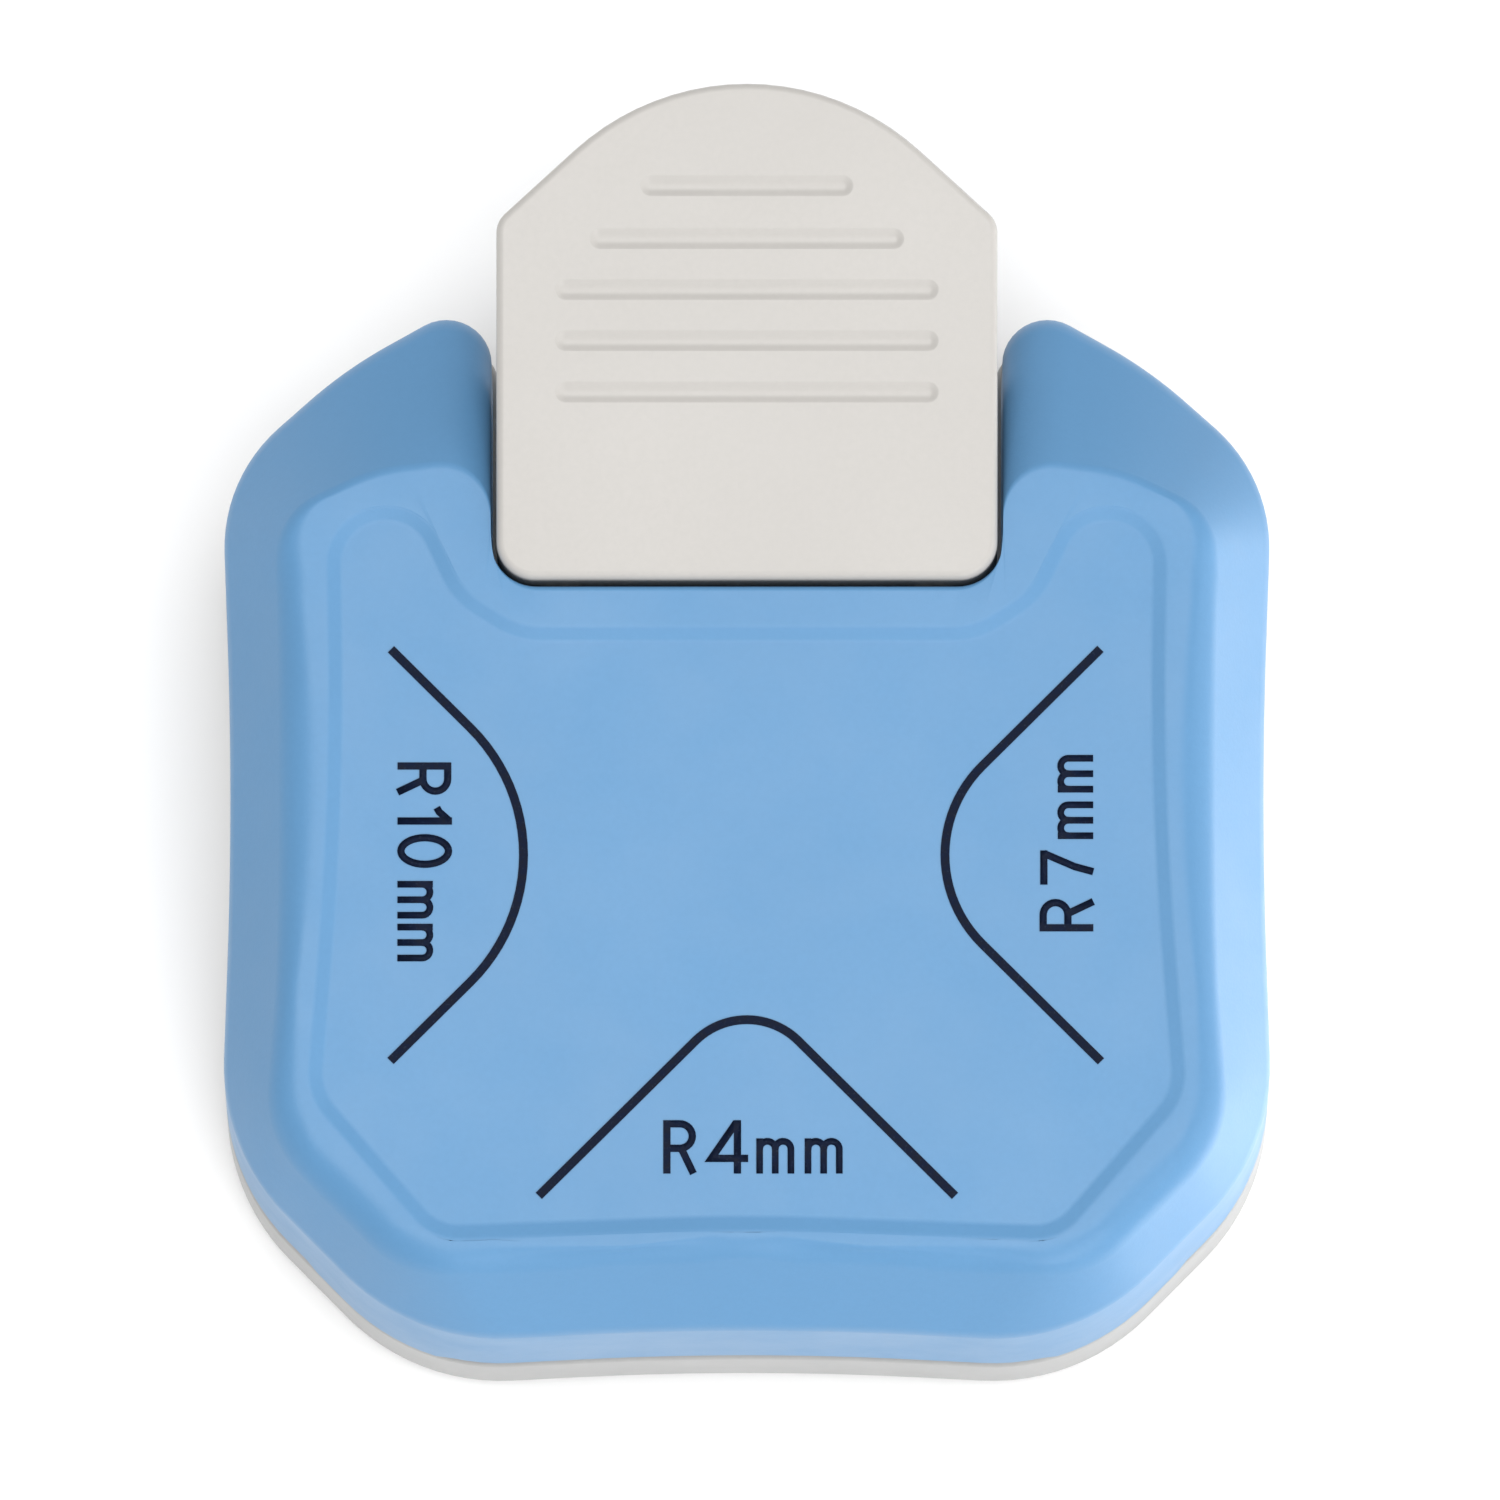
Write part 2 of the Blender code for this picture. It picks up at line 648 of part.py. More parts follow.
def build_springs(material, holder):
    """Return springs round the posts, between the guide plate and the ram's cups."""
    low = GUIDE_Z[1] + GAP + SPRING_WIRE
    high = POCKET_TOP - GAP - SPRING_WIRE
    steps = int(SPRING_TURNS * 14)
    for name, (x, y) in POSTS.items():
        path = []
        for step in range(steps + 1):
            share = step / steps
            angle = math.tau * SPRING_TURNS * share
            path.append(Vector((x + SPRING_MEAN * math.cos(angle), y + SPRING_MEAN * math.sin(angle),
                                low + (high - low) * share)))
        spring = bmesh.new()
        add_tube(spring, path, SPRING_WIRE, 6)
        make_piece(f"return_spring_{name}", spring, material, holder)


# ---------------------------------------------------------------- ram

def build_ram(steel, holder):
    """Punch carrier with its drive pin, the three punches and their screws."""
    plan = [(-4.6, -17.4), (4.6, -17.4), (6.0, -16.9), (17.0, -16.9), (19.2, -14.6), (18.4, -11.6),
            (14.6, -9.0), (14.6, 3.2), (4.0, 7.7), (-4.0, 7.7), (-16.6, 5.0), (-16.6, -10.0),
            (-18.4, -11.6), (-19.2, -14.6), (-17.0, -16.9), (-6.0, -16.9)]
    plate = bmesh.new()
    add_prism(plate, plan, *CARRIER_Z)
    carrier = make_piece("punch_carrier", plate, steel["carrier"], holder)

    raised = bmesh.new()
    tower = [(DIE_CENTRE_Y - 2.6, CARRIER_Z[0] + 0.5), (DIE_CENTRE_Y + 2.6, CARRIER_Z[0] + 0.5),
             (DIE_CENTRE_Y + 2.2, DRIVE_PIN_Z + 1.4), (DIE_CENTRE_Y + 1.2, DRIVE_PIN_Z + 2.3),
             (DIE_CENTRE_Y - 1.2, DRIVE_PIN_Z + 2.3), (DIE_CENTRE_Y - 2.2, DRIVE_PIN_Z + 1.4)]
    add_slab(raised, tower, -TOWER_HALF, TOWER_HALF)
    for x, y in POSTS.values():
        add_turned(raised, [(CUP_RADIUS, CARRIER_Z[0] + 0.4), (CUP_RADIUS, CUP_TOP - 0.4),
                            (CUP_RADIUS - 0.4, CUP_TOP)], x, y, 20)
    combine(carrier, raised, "UNION", "carrier_raised")

    cuts = bmesh.new()
    for x, y in POSTS.values():
        add_turned(cuts, [(POCKET_RADIUS, CARRIER_Z[0] - 0.5), (POCKET_RADIUS, POCKET_TOP),
                          (PIN_HOLE, POCKET_TOP), (PIN_HOLE, CUP_TOP + 0.5)], x, y, 18)
    add_rod(cuts, [(PIN_HOLE, -TOWER_HALF - 0.5), (PIN_HOLE, TOWER_HALF + 0.5)],
            DIE_CENTRE_Y, DRIVE_PIN_Z, 16)
    for station, (_, _, corner, _) in STATIONS.items():
        x, y = station_point(station, corner - SCREW_BACK, 0.0)
        add_turned(cuts, [(PUNCH_BORE, CARRIER_Z[0] - 0.5), (PUNCH_BORE, CARRIER_Z[1] + 0.5)], x, y, 12)

        block = bmesh.new()
        add_prism(block, punch_outline(station), PUNCH_BOTTOM, PUNCH_TOP)
        punch = make_piece(f"punch_{station}", block, steel["punch"], holder)
        tapped = bmesh.new()
        add_turned(tapped, [(PUNCH_BORE, PUNCH_TOP - 2.6), (PUNCH_BORE, PUNCH_TOP + 0.5)], x, y, 12)
        combine(punch, tapped, "DIFFERENCE", f"punch_thread_{station}")

        screw = bmesh.new()
        add_turned(screw, [(0.8, PUNCH_TOP - 2.2), (0.8, CARRIER_Z[1] + GAP), (1.7, CARRIER_Z[1] + GAP),
                           (1.7, CARRIER_Z[1] + 1.0), (1.4, CARRIER_Z[1] + 1.3)], x, y, 14)
        make_piece(f"punch_screw_{station}", screw, steel["screw"], holder)
    combine(carrier, cuts, "DIFFERENCE", "carrier_cuts")

    pin = bmesh.new()
    add_rod(pin, pin_profile(ARM_OUTER + PIN_OVERHANG), DIE_CENTRE_Y, DRIVE_PIN_Z)
    make_piece("drive_pin", pin, steel["pin"], holder)


# ---------------------------------------------------------------- lever

def build_lever(material, holder):
    """Lever: a hollow thumb pad with grip grooves, and two arms that reach forward to the pivot."""
    pad = bmesh.new()
    add_rings(pad, [
        pad_ring(WALL, PAD_SKIN), pad_ring(WALL, PAD_DEPTH), pad_ring(0.0, PAD_DEPTH),
        pad_ring(0.0, 0.7), pad_ring(0.2, 0.2), pad_ring(0.7, 0.0),
    ])
    lever = make_piece("lever", pad, material, holder)

    arms = bmesh.new()
    inside = PAD_FRONT + WALL / 2
    eye = [(PIVOT_Y + ARM_EYE * math.cos(angle), PIVOT_Z + ARM_EYE * math.sin(angle))
           for angle in (math.radians(70.0 + 25.0 * step) for step in range(9))]
    outline = eye + [
        (ARM_BEND, arm_height(ARM_BEND) - ARM_HALF_HEIGHT),
        (inside, arm_height(inside) - ARM_HALF_HEIGHT),
        (RIB_END, pad_height(RIB_END) - PAD_DEPTH + 1.2),
        (RIB_END, pad_height(RIB_END) - PAD_SKIN + 0.6),
        (inside, pad_height(inside) - PAD_SKIN + 0.6), (inside, arm_height(inside) + ARM_HALF_HEIGHT),
        (ARM_BEND, arm_height(ARM_BEND) + ARM_HALF_HEIGHT),
    ]
    for side in SIDES.values():
        add_slab(arms, outline, side * ARM_INNER, side * ARM_OUTER)
    combine(lever, arms, "UNION", "lever_arms")

    holes = bmesh.new()
    reach = ARM_OUTER + 1.0
    add_rod(holes, [(PIN_HOLE, -reach), (PIN_HOLE, reach)], PIVOT_Y, PIVOT_Z)
    slot = []
    for end in (1.0, -1.0):
        for step in range(7):
            angle = math.radians(-90.0 + 30.0 * step) + (0.0 if end > 0 else math.pi)
            slot.append((DIE_CENTRE_Y + end * SLOT_TRAVEL + PIN_HOLE * math.cos(angle),
                         DRIVE_PIN_Z + PIN_HOLE * math.sin(angle)))
    add_slab(holes, slot, -reach, reach)
    for from_tip, half in GROOVES:
        y = PAD_TIP - from_tip
        z = pad_height(y) + GROOVE_RADIUS - GROOVE_DEPTH
        profile = []
        for step in range(1, 4):
            angle = math.radians(30.0 * step)
            profile.append((GROOVE_RADIUS * math.sin(angle), -half - GROOVE_RADIUS * math.cos(angle)))
        profile += [(radius, -x) for radius, x in reversed(profile)]
        add_rod(holes, profile, y, z, 12)
    combine(lever, holes, "DIFFERENCE", "lever_cuts")


def build_pivot(steel, holder):
    """Pivot pin through the guide plate's ears and the lever arms, held by two spring clips."""
    pin = bmesh.new()
    add_rod(pin, pin_profile(EAR_OUTER + GAP + CLIP_THICKNESS + 0.6), PIVOT_Y, PIVOT_Z)
    make_piece("lever_pivot_pin", pin, steel["pin"], holder)
    steps = 12
    for side_name, side in SIDES.items():
        clip = bmesh.new()
        outline = []
        for radius, direction in ((CLIP_RADIUS, 1.0), (PIN_HOLE, -1.0)):
            for step in range(steps + 1):
                share = step / steps if direction > 0 else 1.0 - step / steps
                angle = math.pi / 2 + CLIP_OPENING / 2 + (math.tau - CLIP_OPENING) * share
                outline.append((PIVOT_Y + radius * math.cos(angle), PIVOT_Z + radius * math.sin(angle)))
        inner = EAR_OUTER + GAP
        add_slab(clip, outline, side * inner, side * (inner + CLIP_THICKNESS))
        make_piece(f"pivot_clip_{side_name}", clip, steel["clip"], holder)


# ---------------------------------------------------------------- assembly

def build():
    """Build every piece and hang it from the empty of its moving group."""
    clear_scene()
    front = min(point.y for point in case_loop(SKIRT))
    assembly = make_empty("assembly", (0.0, -(front + PAD_TIP) / 2.0, 0.0))
    lever_axis = make_empty("lever_axis", (0.0, PIVOT_Y, PIVOT_Z), assembly)
    ram_axis = make_empty("ram_axis", (0.0, DIE_CENTRE_Y, DRIVE_PIN_Z), assembly)
    lid_axis = make_empty("lid_axis", (0.0, *LID_AXIS), assembly)

    blue_shell = make_material("blue_abs", (128, 175, 217), 0.45, 0.0)
    white_shell = make_material("white_abs", (214, 213, 210), 0.5, 0.0)
    lever_shell = make_material("lever_abs", (221, 217, 212), 0.5, 0.0)
    rubber = make_material("grey_rubber", (88, 90, 92), 0.8, 0.0)
    screw_steel = make_material("screw_steel", (150, 150, 152), 0.35, 1.0)
    steel = {
        "die": make_material("die_steel", (168, 170, 172), 0.3, 1.0),
        "spacer": make_material("spacer_steel", (176, 177, 178), 0.4, 1.0),
        "guide": make_material("guide_steel", (182, 183, 184), 0.35, 1.0),
        "carrier": make_material("carrier_zinc", (160, 162, 165), 0.5, 1.0),
        "punch": make_material("tool_steel", (140, 142, 145), 0.25, 1.0),
        "pin": make_material("pin_steel", (190, 191, 192), 0.2, 1.0),
        "clip": make_material("clip_steel", (120, 118, 112), 0.4, 1.0),
        "spring": make_material("spring_steel", (170, 170, 172), 0.25, 1.0),
        "screw": screw_steel,
    }

    build_cover(blue_shell, assembly)
    build_base(white_shell, assembly)
    build_lid(white_shell, lid_axis)
    build_feet(rubber, assembly)
    build_case_screws(screw_steel, assembly)
    build_plates(steel, assembly)
    build_die_screws(screw_steel, assembly)
    build_posts(steel["pin"], assembly)
    build_springs(steel["spring"], assembly)
    build_ram(steel, ram_axis)
    build_lever(lever_shell, lever_axis)
    build_pivot(steel, assembly)


build()
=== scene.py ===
"""Looks of the three-size paper corner rounder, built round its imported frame.

Lengths in the builders below are millimetres in the case's own frame: X to the right, Y to the back
with Y = 0 on the case's waist, Z up from the table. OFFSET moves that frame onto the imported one.
"""

import math

import bmesh
import bpy
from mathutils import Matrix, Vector


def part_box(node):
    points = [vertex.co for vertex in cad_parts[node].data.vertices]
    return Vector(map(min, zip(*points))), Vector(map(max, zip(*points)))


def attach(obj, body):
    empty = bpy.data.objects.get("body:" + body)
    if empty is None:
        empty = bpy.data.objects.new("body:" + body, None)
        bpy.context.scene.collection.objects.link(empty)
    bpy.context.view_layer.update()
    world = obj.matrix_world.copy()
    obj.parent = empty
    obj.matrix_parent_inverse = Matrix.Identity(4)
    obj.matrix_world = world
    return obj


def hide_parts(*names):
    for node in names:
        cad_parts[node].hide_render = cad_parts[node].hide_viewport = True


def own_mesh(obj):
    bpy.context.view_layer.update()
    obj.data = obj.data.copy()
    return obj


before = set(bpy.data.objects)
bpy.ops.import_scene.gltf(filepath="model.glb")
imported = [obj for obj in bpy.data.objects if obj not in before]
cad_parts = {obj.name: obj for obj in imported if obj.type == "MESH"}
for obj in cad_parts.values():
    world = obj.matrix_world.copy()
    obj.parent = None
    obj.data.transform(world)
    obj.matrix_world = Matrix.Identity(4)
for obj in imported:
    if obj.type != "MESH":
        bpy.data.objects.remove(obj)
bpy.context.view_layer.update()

MM = 0.001
SIDES = {"left": -1.0, "right": 1.0}

# Outlines, right-hand half from the front centre round to the lever notch: x, y, corner radius.
NOTCH_HALF = 14.1
NOTCH_FRONT = 12.05
SKIRT = ((0.0, -28.3, 180.0), (18.4, -29.25, 12.0), (29.0, -18.5, 12.0), (28.35, 1.0, 250.0),
         (29.0, 19.0, 9.0), (22.2, 25.1, 25.0), (NOTCH_HALF, 29.7, 2.5), (NOTCH_HALF, NOTCH_FRONT, 2.5))
CREST = ((0.0, -24.5, 120.0), (18.6, -25.7, 6.0), (25.9, -18.4, 6.0), (24.7, 0.5, 200.0),
         (25.5, 16.0, 3.2), (20.6, 18.4, 10.0), (NOTCH_HALF, 19.2, 2.8), (NOTCH_HALF, NOTCH_FRONT, 2.5))
PANEL = ((0.0, -22.9, 120.0), (16.9, -23.5, 2.5), (23.4, -16.0, 3.0), (22.1, 0.5, 200.0),
         (22.4, 15.7, 2.4), (18.3, 15.7, 2.4), (16.2, 11.2, 5.0), (12.7, 9.0, 5.0))
BASE = SKIRT[:6] + ((14.4, 29.3, 2.2), (13.4, 24.5, 1.0))
ARC_STEPS = 12
EDGE_STEPS = 6
SMALLEST_RADIUS = 0.25

# Heights and walls.
WALL = 1.8
BASE_BOTTOM = 0.8
BASE_TOP = 7.5
COVER_BOTTOM = 7.7
SLOT_TOP = 8.7
SKIRT_TOP = 19.4
CREST_Z = 25.0
PANEL_Z = 24.74
CEILING = 22.4
DECK_BOTTOM = 5.2
POCKET_FLOOR = 6.4

# Lever.
PIVOT_Y = -20.5
PIVOT_Z = 17.0
PIN_HOLE = 1.55
DIE_CENTRE_Y = -3.3
ARM_INNER = 9.2
ARM_OUTER = 11.2
ARM_HALF_HEIGHT = 1.9
ARM_EYE = 2.6
ARM_RISE = 3.0
PAD_FRONT = 12.4
PAD_TIP = 39.4
PAD_HALF = 13.8
PAD_FRONT_Z = 25.3
PAD_SLOPE = math.tan(math.radians(8.8))
PAD_HEAD_RADIUS = 14.25
PAD_HEAD_ANGLE = math.radians(42.0)
PAD_DEPTH = 6.5
PAD_SKIN = 2.2
PAD_EDGE = 0.45
PAD_EDGE_STEPS = 8
PAD_FRONT_CORNER = 2.1
PAD_SHOULDER_CORNER = 1.4
ARM_BEND = -14.0
ARM_BEVEL = 0.15
EYE_FRONT_CORNER = 2.5
EYE_BACK_CORNER = 1.6
RIB_END = 25.0
PIN_SLOT_TRAVEL = 0.6

# Grip grooves: distance from the pad's tip and half length of each. Their section, from the floor out:
# how far inside the groove's edge and how far below the pad's face.
GROOVES = ((5.62, 5.8), (8.5, 8.6), (11.27, 10.5), (14.05, 10.5), (16.85, 10.5))
GROOVE_HALF_WIDTH = 0.5
GROOVE_SECTION = ((0.44, 0.2), (0.34, 0.19), (0.24, 0.155), (0.15, 0.11), (0.06, 0.06), (-0.04, 0.015),
                  (-0.12, -0.01), (-0.16, -0.3))

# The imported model's Y for the case frame's Y = 0, read from the lever's tip.
OFFSET = Vector((0.0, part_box("lever")[1][1] - PAD_TIP * MM, 0.0))


# ---------------------------------------------------------------- plane geometry

def turn_at(before, corner, after):
    """Unit directions into and out of a corner, and the angle between them."""
    into = (corner - before).normalized()
    out = (after - corner).normalized()
    return into, out, math.atan2(into.x * out.y - into.y * out.x, into.dot(out))


def corner_arc(before, corner, after, radius, steps=ARC_STEPS):
    """Points of the arc that rounds one corner of an outline."""
    into, _, turn = turn_at(before, corner, after)
    start = corner - into * radius * math.tan(abs(turn) / 2)
    centre = start + Vector((-into.y, into.x)) * math.copysign(radius, turn)
    first = start - centre
    points = []
    for step in range(steps + 1):
        angle = turn * step / steps
        points.append(centre + Vector((first.x * math.cos(angle) - first.y * math.sin(angle),
                                       first.x * math.sin(angle) + first.y * math.cos(angle))))
    return points


def rounded(corners, arc_steps=ARC_STEPS, edge_steps=EDGE_STEPS):
    """Closed outline through corners of (x, y, radius), with extra points along its straight runs."""
    arcs = []
    for index, (x, y, radius) in enumerate(corners):
        before = Vector(corners[index - 1][:2])
        after = Vector(corners[(index + 1) % len(corners)][:2])
        arcs.append(corner_arc(before, Vector((x, y)), after, radius, arc_steps))
    points = []
    for index, arc in enumerate(arcs):
        follow = arcs[(index + 1) % len(arcs)][0]
        points += arc
        points += [arc[-1].lerp(follow, step / edge_steps) for step in range(1, edge_steps)]
    return points


def softened(corners, steps):
    """Open path through corners of (x, y, radius), its ends kept."""
    points = [Vector(corners[0][:2])]
    for index in range(1, len(corners) - 1):
        x, y, radius = corners[index]
        before, after = Vector(corners[index - 1][:2]), Vector(corners[index + 1][:2])
        points += corner_arc(before, Vector((x, y)), after, radius, steps)
    return points + [Vector(corners[-1][:2])]


def inset(corners, distance):
    """Corners moved inwards by a distance, or outwards if it is negative, with radii to suit."""
    moved = []
    for index, (x, y, radius) in enumerate(corners):
        corner = Vector((x, y))
        following = Vector(corners[(index + 1) % len(corners)][:2])
        into, out, turn = turn_at(Vector(corners[index - 1][:2]), corner, following)
        bisector = (Vector((-into.y, into.x)) + Vector((-out.y, out.x))).normalized()
        shifted = corner + bisector * distance / math.cos(turn / 2)
        rounding = max(radius - distance * math.copysign(1.0, turn), SMALLEST_RADIUS)
        moved.append((shifted.x, shifted.y, rounding))
    return moved


def case_loop(half, distance=0.0):
    """Points of one outline of the case, inset by a distance."""
    mirrored = [(-x, y, radius) for x, y, radius in reversed(half[1:])]
    return rounded(inset(list(half) + mirrored, distance))


def at_height(points, z):
    """Plane points lifted to a height."""
    return [(point[0], point[1], z) for point in points]


def circle(radius, steps):
    """Points of a circle about the origin."""
    angles = [math.tau * step / steps for step in range(steps)]
    return [(radius * math.cos(angle), radius * math.sin(angle)) for angle in angles]


def rectangle(x0, x1, y0, y1):
    """Points of a rectangle."""
    return [(x0, y0), (x1, y0), (x1, y1), (x0, y1)]


# ---------------------------------------------------------------- meshes

SLAB_ARC_STEPS = 6
NORMAL_WEIGHT = 80


def add_rings(shape, rings):
    """Skin a row of closed rings of equal length and close both ends."""
    rows = [[shape.verts.new(Vector(point) * MM + OFFSET) for point in ring] for ring in rings]
    for lower, upper in zip(rows, rows[1:]):
        for index in range(len(lower)):
            follow = (index + 1) % len(lower)
            shape.faces.new((lower[index], lower[follow], upper[follow], upper[index]))
    shape.faces.new(rows[0])
    shape.faces.new(rows[-1])


def add_prism(shape, points, z0, z1):
    """Upright prism over an outline in plan."""
    add_rings(shape, [at_height(points, z0), at_height(points, z1)])


def add_slab(shape, corners, x0, x1, bevel=0.0):
    """Prism along X over corners of (y, z, radius), its two rims bevelled if a bevel is given."""
    outer = rounded(corners, SLAB_ARC_STEPS, edge_steps=1)
    stations = [(outer, x0), (outer, x1)]
    if bevel:
        inner = rounded(inset(corners, bevel), SLAB_ARC_STEPS, edge_steps=1)
        step = math.copysign(bevel, x1 - x0)
        stations = [(inner, x0), (outer, x0 + step), (outer, x1 - step), (inner, x1)]
    add_rings(shape, [[(x, point[0], point[1]) for point in points] for points, x in stations])


def add_turned(shape, profile, x, y, steps=40):
    """Upright turned solid: profile of (radius, z) about the vertical through x, y."""
    add_rings(shape, [[(x + px, y + py, z) for px, py in circle(radius, steps)] for radius, z in profile])


def add_rod(shape, profile, y, z, steps=32):
    """Turned solid along X: profile of (radius, x) about the line through y, z."""
    add_rings(shape, [[(x, y + py, z + pz) for py, pz in circle(radius, steps)] for radius, x in profile])


def add_tube(shape, path, radius, sides):
    """Round wire along a path."""
    rings = []
    for index, point in enumerate(path):
        ahead = path[min(index + 1, len(path) - 1)]
        behind = path[max(index - 1, 0)]
        along = (ahead - behind).normalized()
        outward = along.cross(Vector((0.0, 0.0, 1.0))).normalized()
        upward = outward.cross(along)
        rings.append([tuple(point + outward * px + upward * py) for px, py in circle(radius, sides)])
    add_rings(shape, rings)


def make_object(name, shape):
    """Object from a finished shape."""
    bmesh.ops.recalc_face_normals(shape, faces=shape.faces)
    mesh = bpy.data.meshes.new(name)
    shape.to_mesh(mesh)
    shape.free()
    item = bpy.data.objects.new(name, mesh)
    bpy.context.scene.collection.objects.link(item)
    return item


def carve(item, steps):
    """Join shapes to an object or cut them away, in order, and keep the result as its mesh."""
    tools = []
    for operation, shape in steps:
        tool = make_object(f"tool_{item.name}_{len(tools)}", shape)
        tool.data.shade_smooth()
        modifier = item.modifiers.new(operation.lower(), "BOOLEAN")
        modifier.operation = operation
        modifier.solver = "EXACT"
        modifier.object = tool
        tools.append(tool)
    bake_modifiers(item)
    for tool in tools:
        bpy.data.objects.remove(tool, do_unlink=True)


def bake_modifiers(item):
    """Replace an object's mesh by what its modifiers make of it."""
    bpy.context.view_layer.update()
    evaluated = item.evaluated_get(bpy.context.evaluated_depsgraph_get())
    mesh = bpy.data.meshes.new_from_object(evaluated)
    item.modifiers.clear()
    item.data = mesh


def smooth(item, angle=30.0):
    """Smooth shading that keeps flat faces flat beside small rounded edges."""
    item.data.shade_smooth()
    item.data.set_sharp_from_angle(angle=math.radians(angle))
    weighted = item.modifiers.new("weighted_normals", "WEIGHTED_NORMAL")
    weighted.keep_sharp = True
    weighted.weight = NORMAL_WEIGHT


def finish_piece(item, body, slot, material, *nodes):
    """Give a piece its material and its body, and hide the CAD nodes it stands for. Its slot is not used.
    """
    item.data.materials.clear()
    item.data.materials.append(material)
    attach(item, body)
    if nodes:
        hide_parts(*nodes)


# ---------------------------------------------------------------- materials

# Sizes of surface features and depths of relief, in metres.
PLASTIC_FLOW = 0.012
PLASTIC_SPECK = 0.00035
PLASTIC_HANDLING = 0.006
PLASTIC_RIPPLE = 0.0032
PLASTIC_GRAIN = 0.00018
INK_MOTTLE = 0.0004
INK_PORE = 0.00016
INK_PORE_DEPTH = 0.000004
METAL_STAIN = 0.004
METAL_SCRATCH_DEPTH = 0.000005
RUBBER_DUST = 0.0016
RUBBER_PEBBLE = 0.0002
RUBBER_PEBBLE_DEPTH = 0.00001


def linear(colour):
    """Display colour, 0 to 255, as linear RGBA."""
    channels = []
    for channel in colour:
        value = channel / 255.0
        channels.append(value / 12.92 if value <= 0.04045 else ((value + 0.055) / 1.055) ** 2.4)
    return (*channels, 1.0)


class Graph:
    """Short way to add and link the nodes of one material."""

    def __init__(self, name):
        self.material = bpy.data.materials.new(name)
        self.material.use_nodes = True
        self.nodes = self.material.node_tree.nodes
        self.links = self.material.node_tree.links
        self.shader = self.nodes["Principled BSDF"]
        self.place = self.add("ShaderNodeTexCoord").outputs["Object"]

    def add(self, kind, **settings):
        """New node with some of its properties set."""
        node = self.nodes.new(kind)
        for key, value in settings.items():
            setattr(node, key, value)
        return node

    def link(self, output, target):
        """Join an output to an input."""
        self.links.new(output, target)

    def noise(self, size, detail=2.0, stretch=(1.0, 1.0, 1.0), roughness=0.5):
        """Noise whose features are about size metres across."""
        mapping = self.add("ShaderNodeMapping")
        self.link(self.place, mapping.inputs["Vector"])
        mapping.inputs["Scale"].default_value = [value / size for value in stretch]
        texture = self.add("ShaderNodeTexNoise")
        self.link(mapping.outputs["Vector"], texture.inputs["Vector"])
        texture.inputs["Scale"].default_value = 1.0
        texture.inputs["Detail"].default_value = detail
        texture.inputs["Roughness"].default_value = roughness
        return texture.outputs["Fac"]

    def span(self, value, low, high, start=0.3, end=0.7):
        """Map a noise value onto a range."""
        node = self.add("ShaderNodeMapRange")
        self.link(value, node.inputs["Value"])
        node.inputs["From Min"].default_value = start
        node.inputs["From Max"].default_value = end
        node.inputs["To Min"].default_value = low
        node.inputs["To Max"].default_value = high
        return node.outputs["Result"]

    def mix(self, share, first, second):
        """Colour between two colours, or between an output and a colour."""
        node = self.add("ShaderNodeMix", data_type="RGBA")
        self.link(share, node.inputs["Factor"])
        for value, socket in ((first, node.inputs["A"]), (second, node.inputs["B"])):
            if isinstance(value, bpy.types.NodeSocket):
                self.link(value, socket)
            else:
                socket.default_value = value
        return node.outputs["Result"]

    def bump(self, height, depth, strength=1.0, below=None):
        """Relief of a depth in metres, on top of another relief if there is one."""
        node = self.add("ShaderNodeBump")
        self.link(height, node.inputs["Height"])
        node.inputs["Distance"].default_value = depth
        node.inputs["Strength"].default_value = strength
        if below is not None:
            self.link(below, node.inputs["Normal"])
        return node.outputs["Normal"]


def shade(colour, factor):
    """Linear colour made lighter or darker."""
    return (*[min(channel * factor, 1.0) for channel in linear(colour)[:3]], 1.0)


def make_plastic(name, colour, roughness, depth=0.000006):
    """Satin moulded plastic: spark-eroded grain, faint flow variation and handling marks."""
    graph = Graph(name)
    flow = graph.noise(PLASTIC_FLOW, detail=3.0)
    speck = graph.noise(PLASTIC_SPECK)
    base = graph.mix(graph.span(flow, 0.0, 1.0), shade(colour, 0.975), shade(colour, 1.025))
    fine = graph.mix(graph.span(speck, 0.0, 0.35), base, shade(colour, 0.93))
    graph.link(fine, graph.shader.inputs["Base Color"])
    handling = graph.noise(PLASTIC_HANDLING, detail=4.0, roughness=0.65)
    graph.link(graph.span(handling, roughness - 0.04, roughness + 0.05), graph.shader.inputs["Roughness"])
    ripple = graph.bump(graph.noise(PLASTIC_RIPPLE), depth * 1.6, strength=0.6)
    grain = graph.bump(graph.noise(PLASTIC_GRAIN, detail=3.0, roughness=0.6), depth, below=ripple)
    graph.link(grain, graph.shader.inputs["Normal"])
    graph.shader.inputs["IOR"].default_value = 1.5
    graph.shader.inputs["Specular IOR Level"].default_value = 0.42
    return graph.material


def make_ink(name, colour, flecks):
    """Pad-printed ink: near black, with a mottled, slightly porous film."""
    graph = Graph(name)
    mottle = graph.noise(INK_MOTTLE, detail=3.0, roughness=0.7)
    dark = graph.mix(graph.span(mottle, 0.0, 1.0), shade(colour, 0.7), shade(colour, 1.5))
    pores = graph.noise(INK_PORE, detail=1.0)
    holes = graph.span(pores, 0.0, 0.5, start=0.62, end=0.74)
    graph.link(graph.mix(holes, dark, linear(flecks)), graph.shader.inputs["Base Color"])
    graph.link(graph.span(mottle, 0.42, 0.6), graph.shader.inputs["Roughness"])
    graph.link(graph.bump(pores, INK_PORE_DEPTH), graph.shader.inputs["Normal"])
    graph.shader.inputs["Specular IOR Level"].default_value = 0.08
    return graph.material


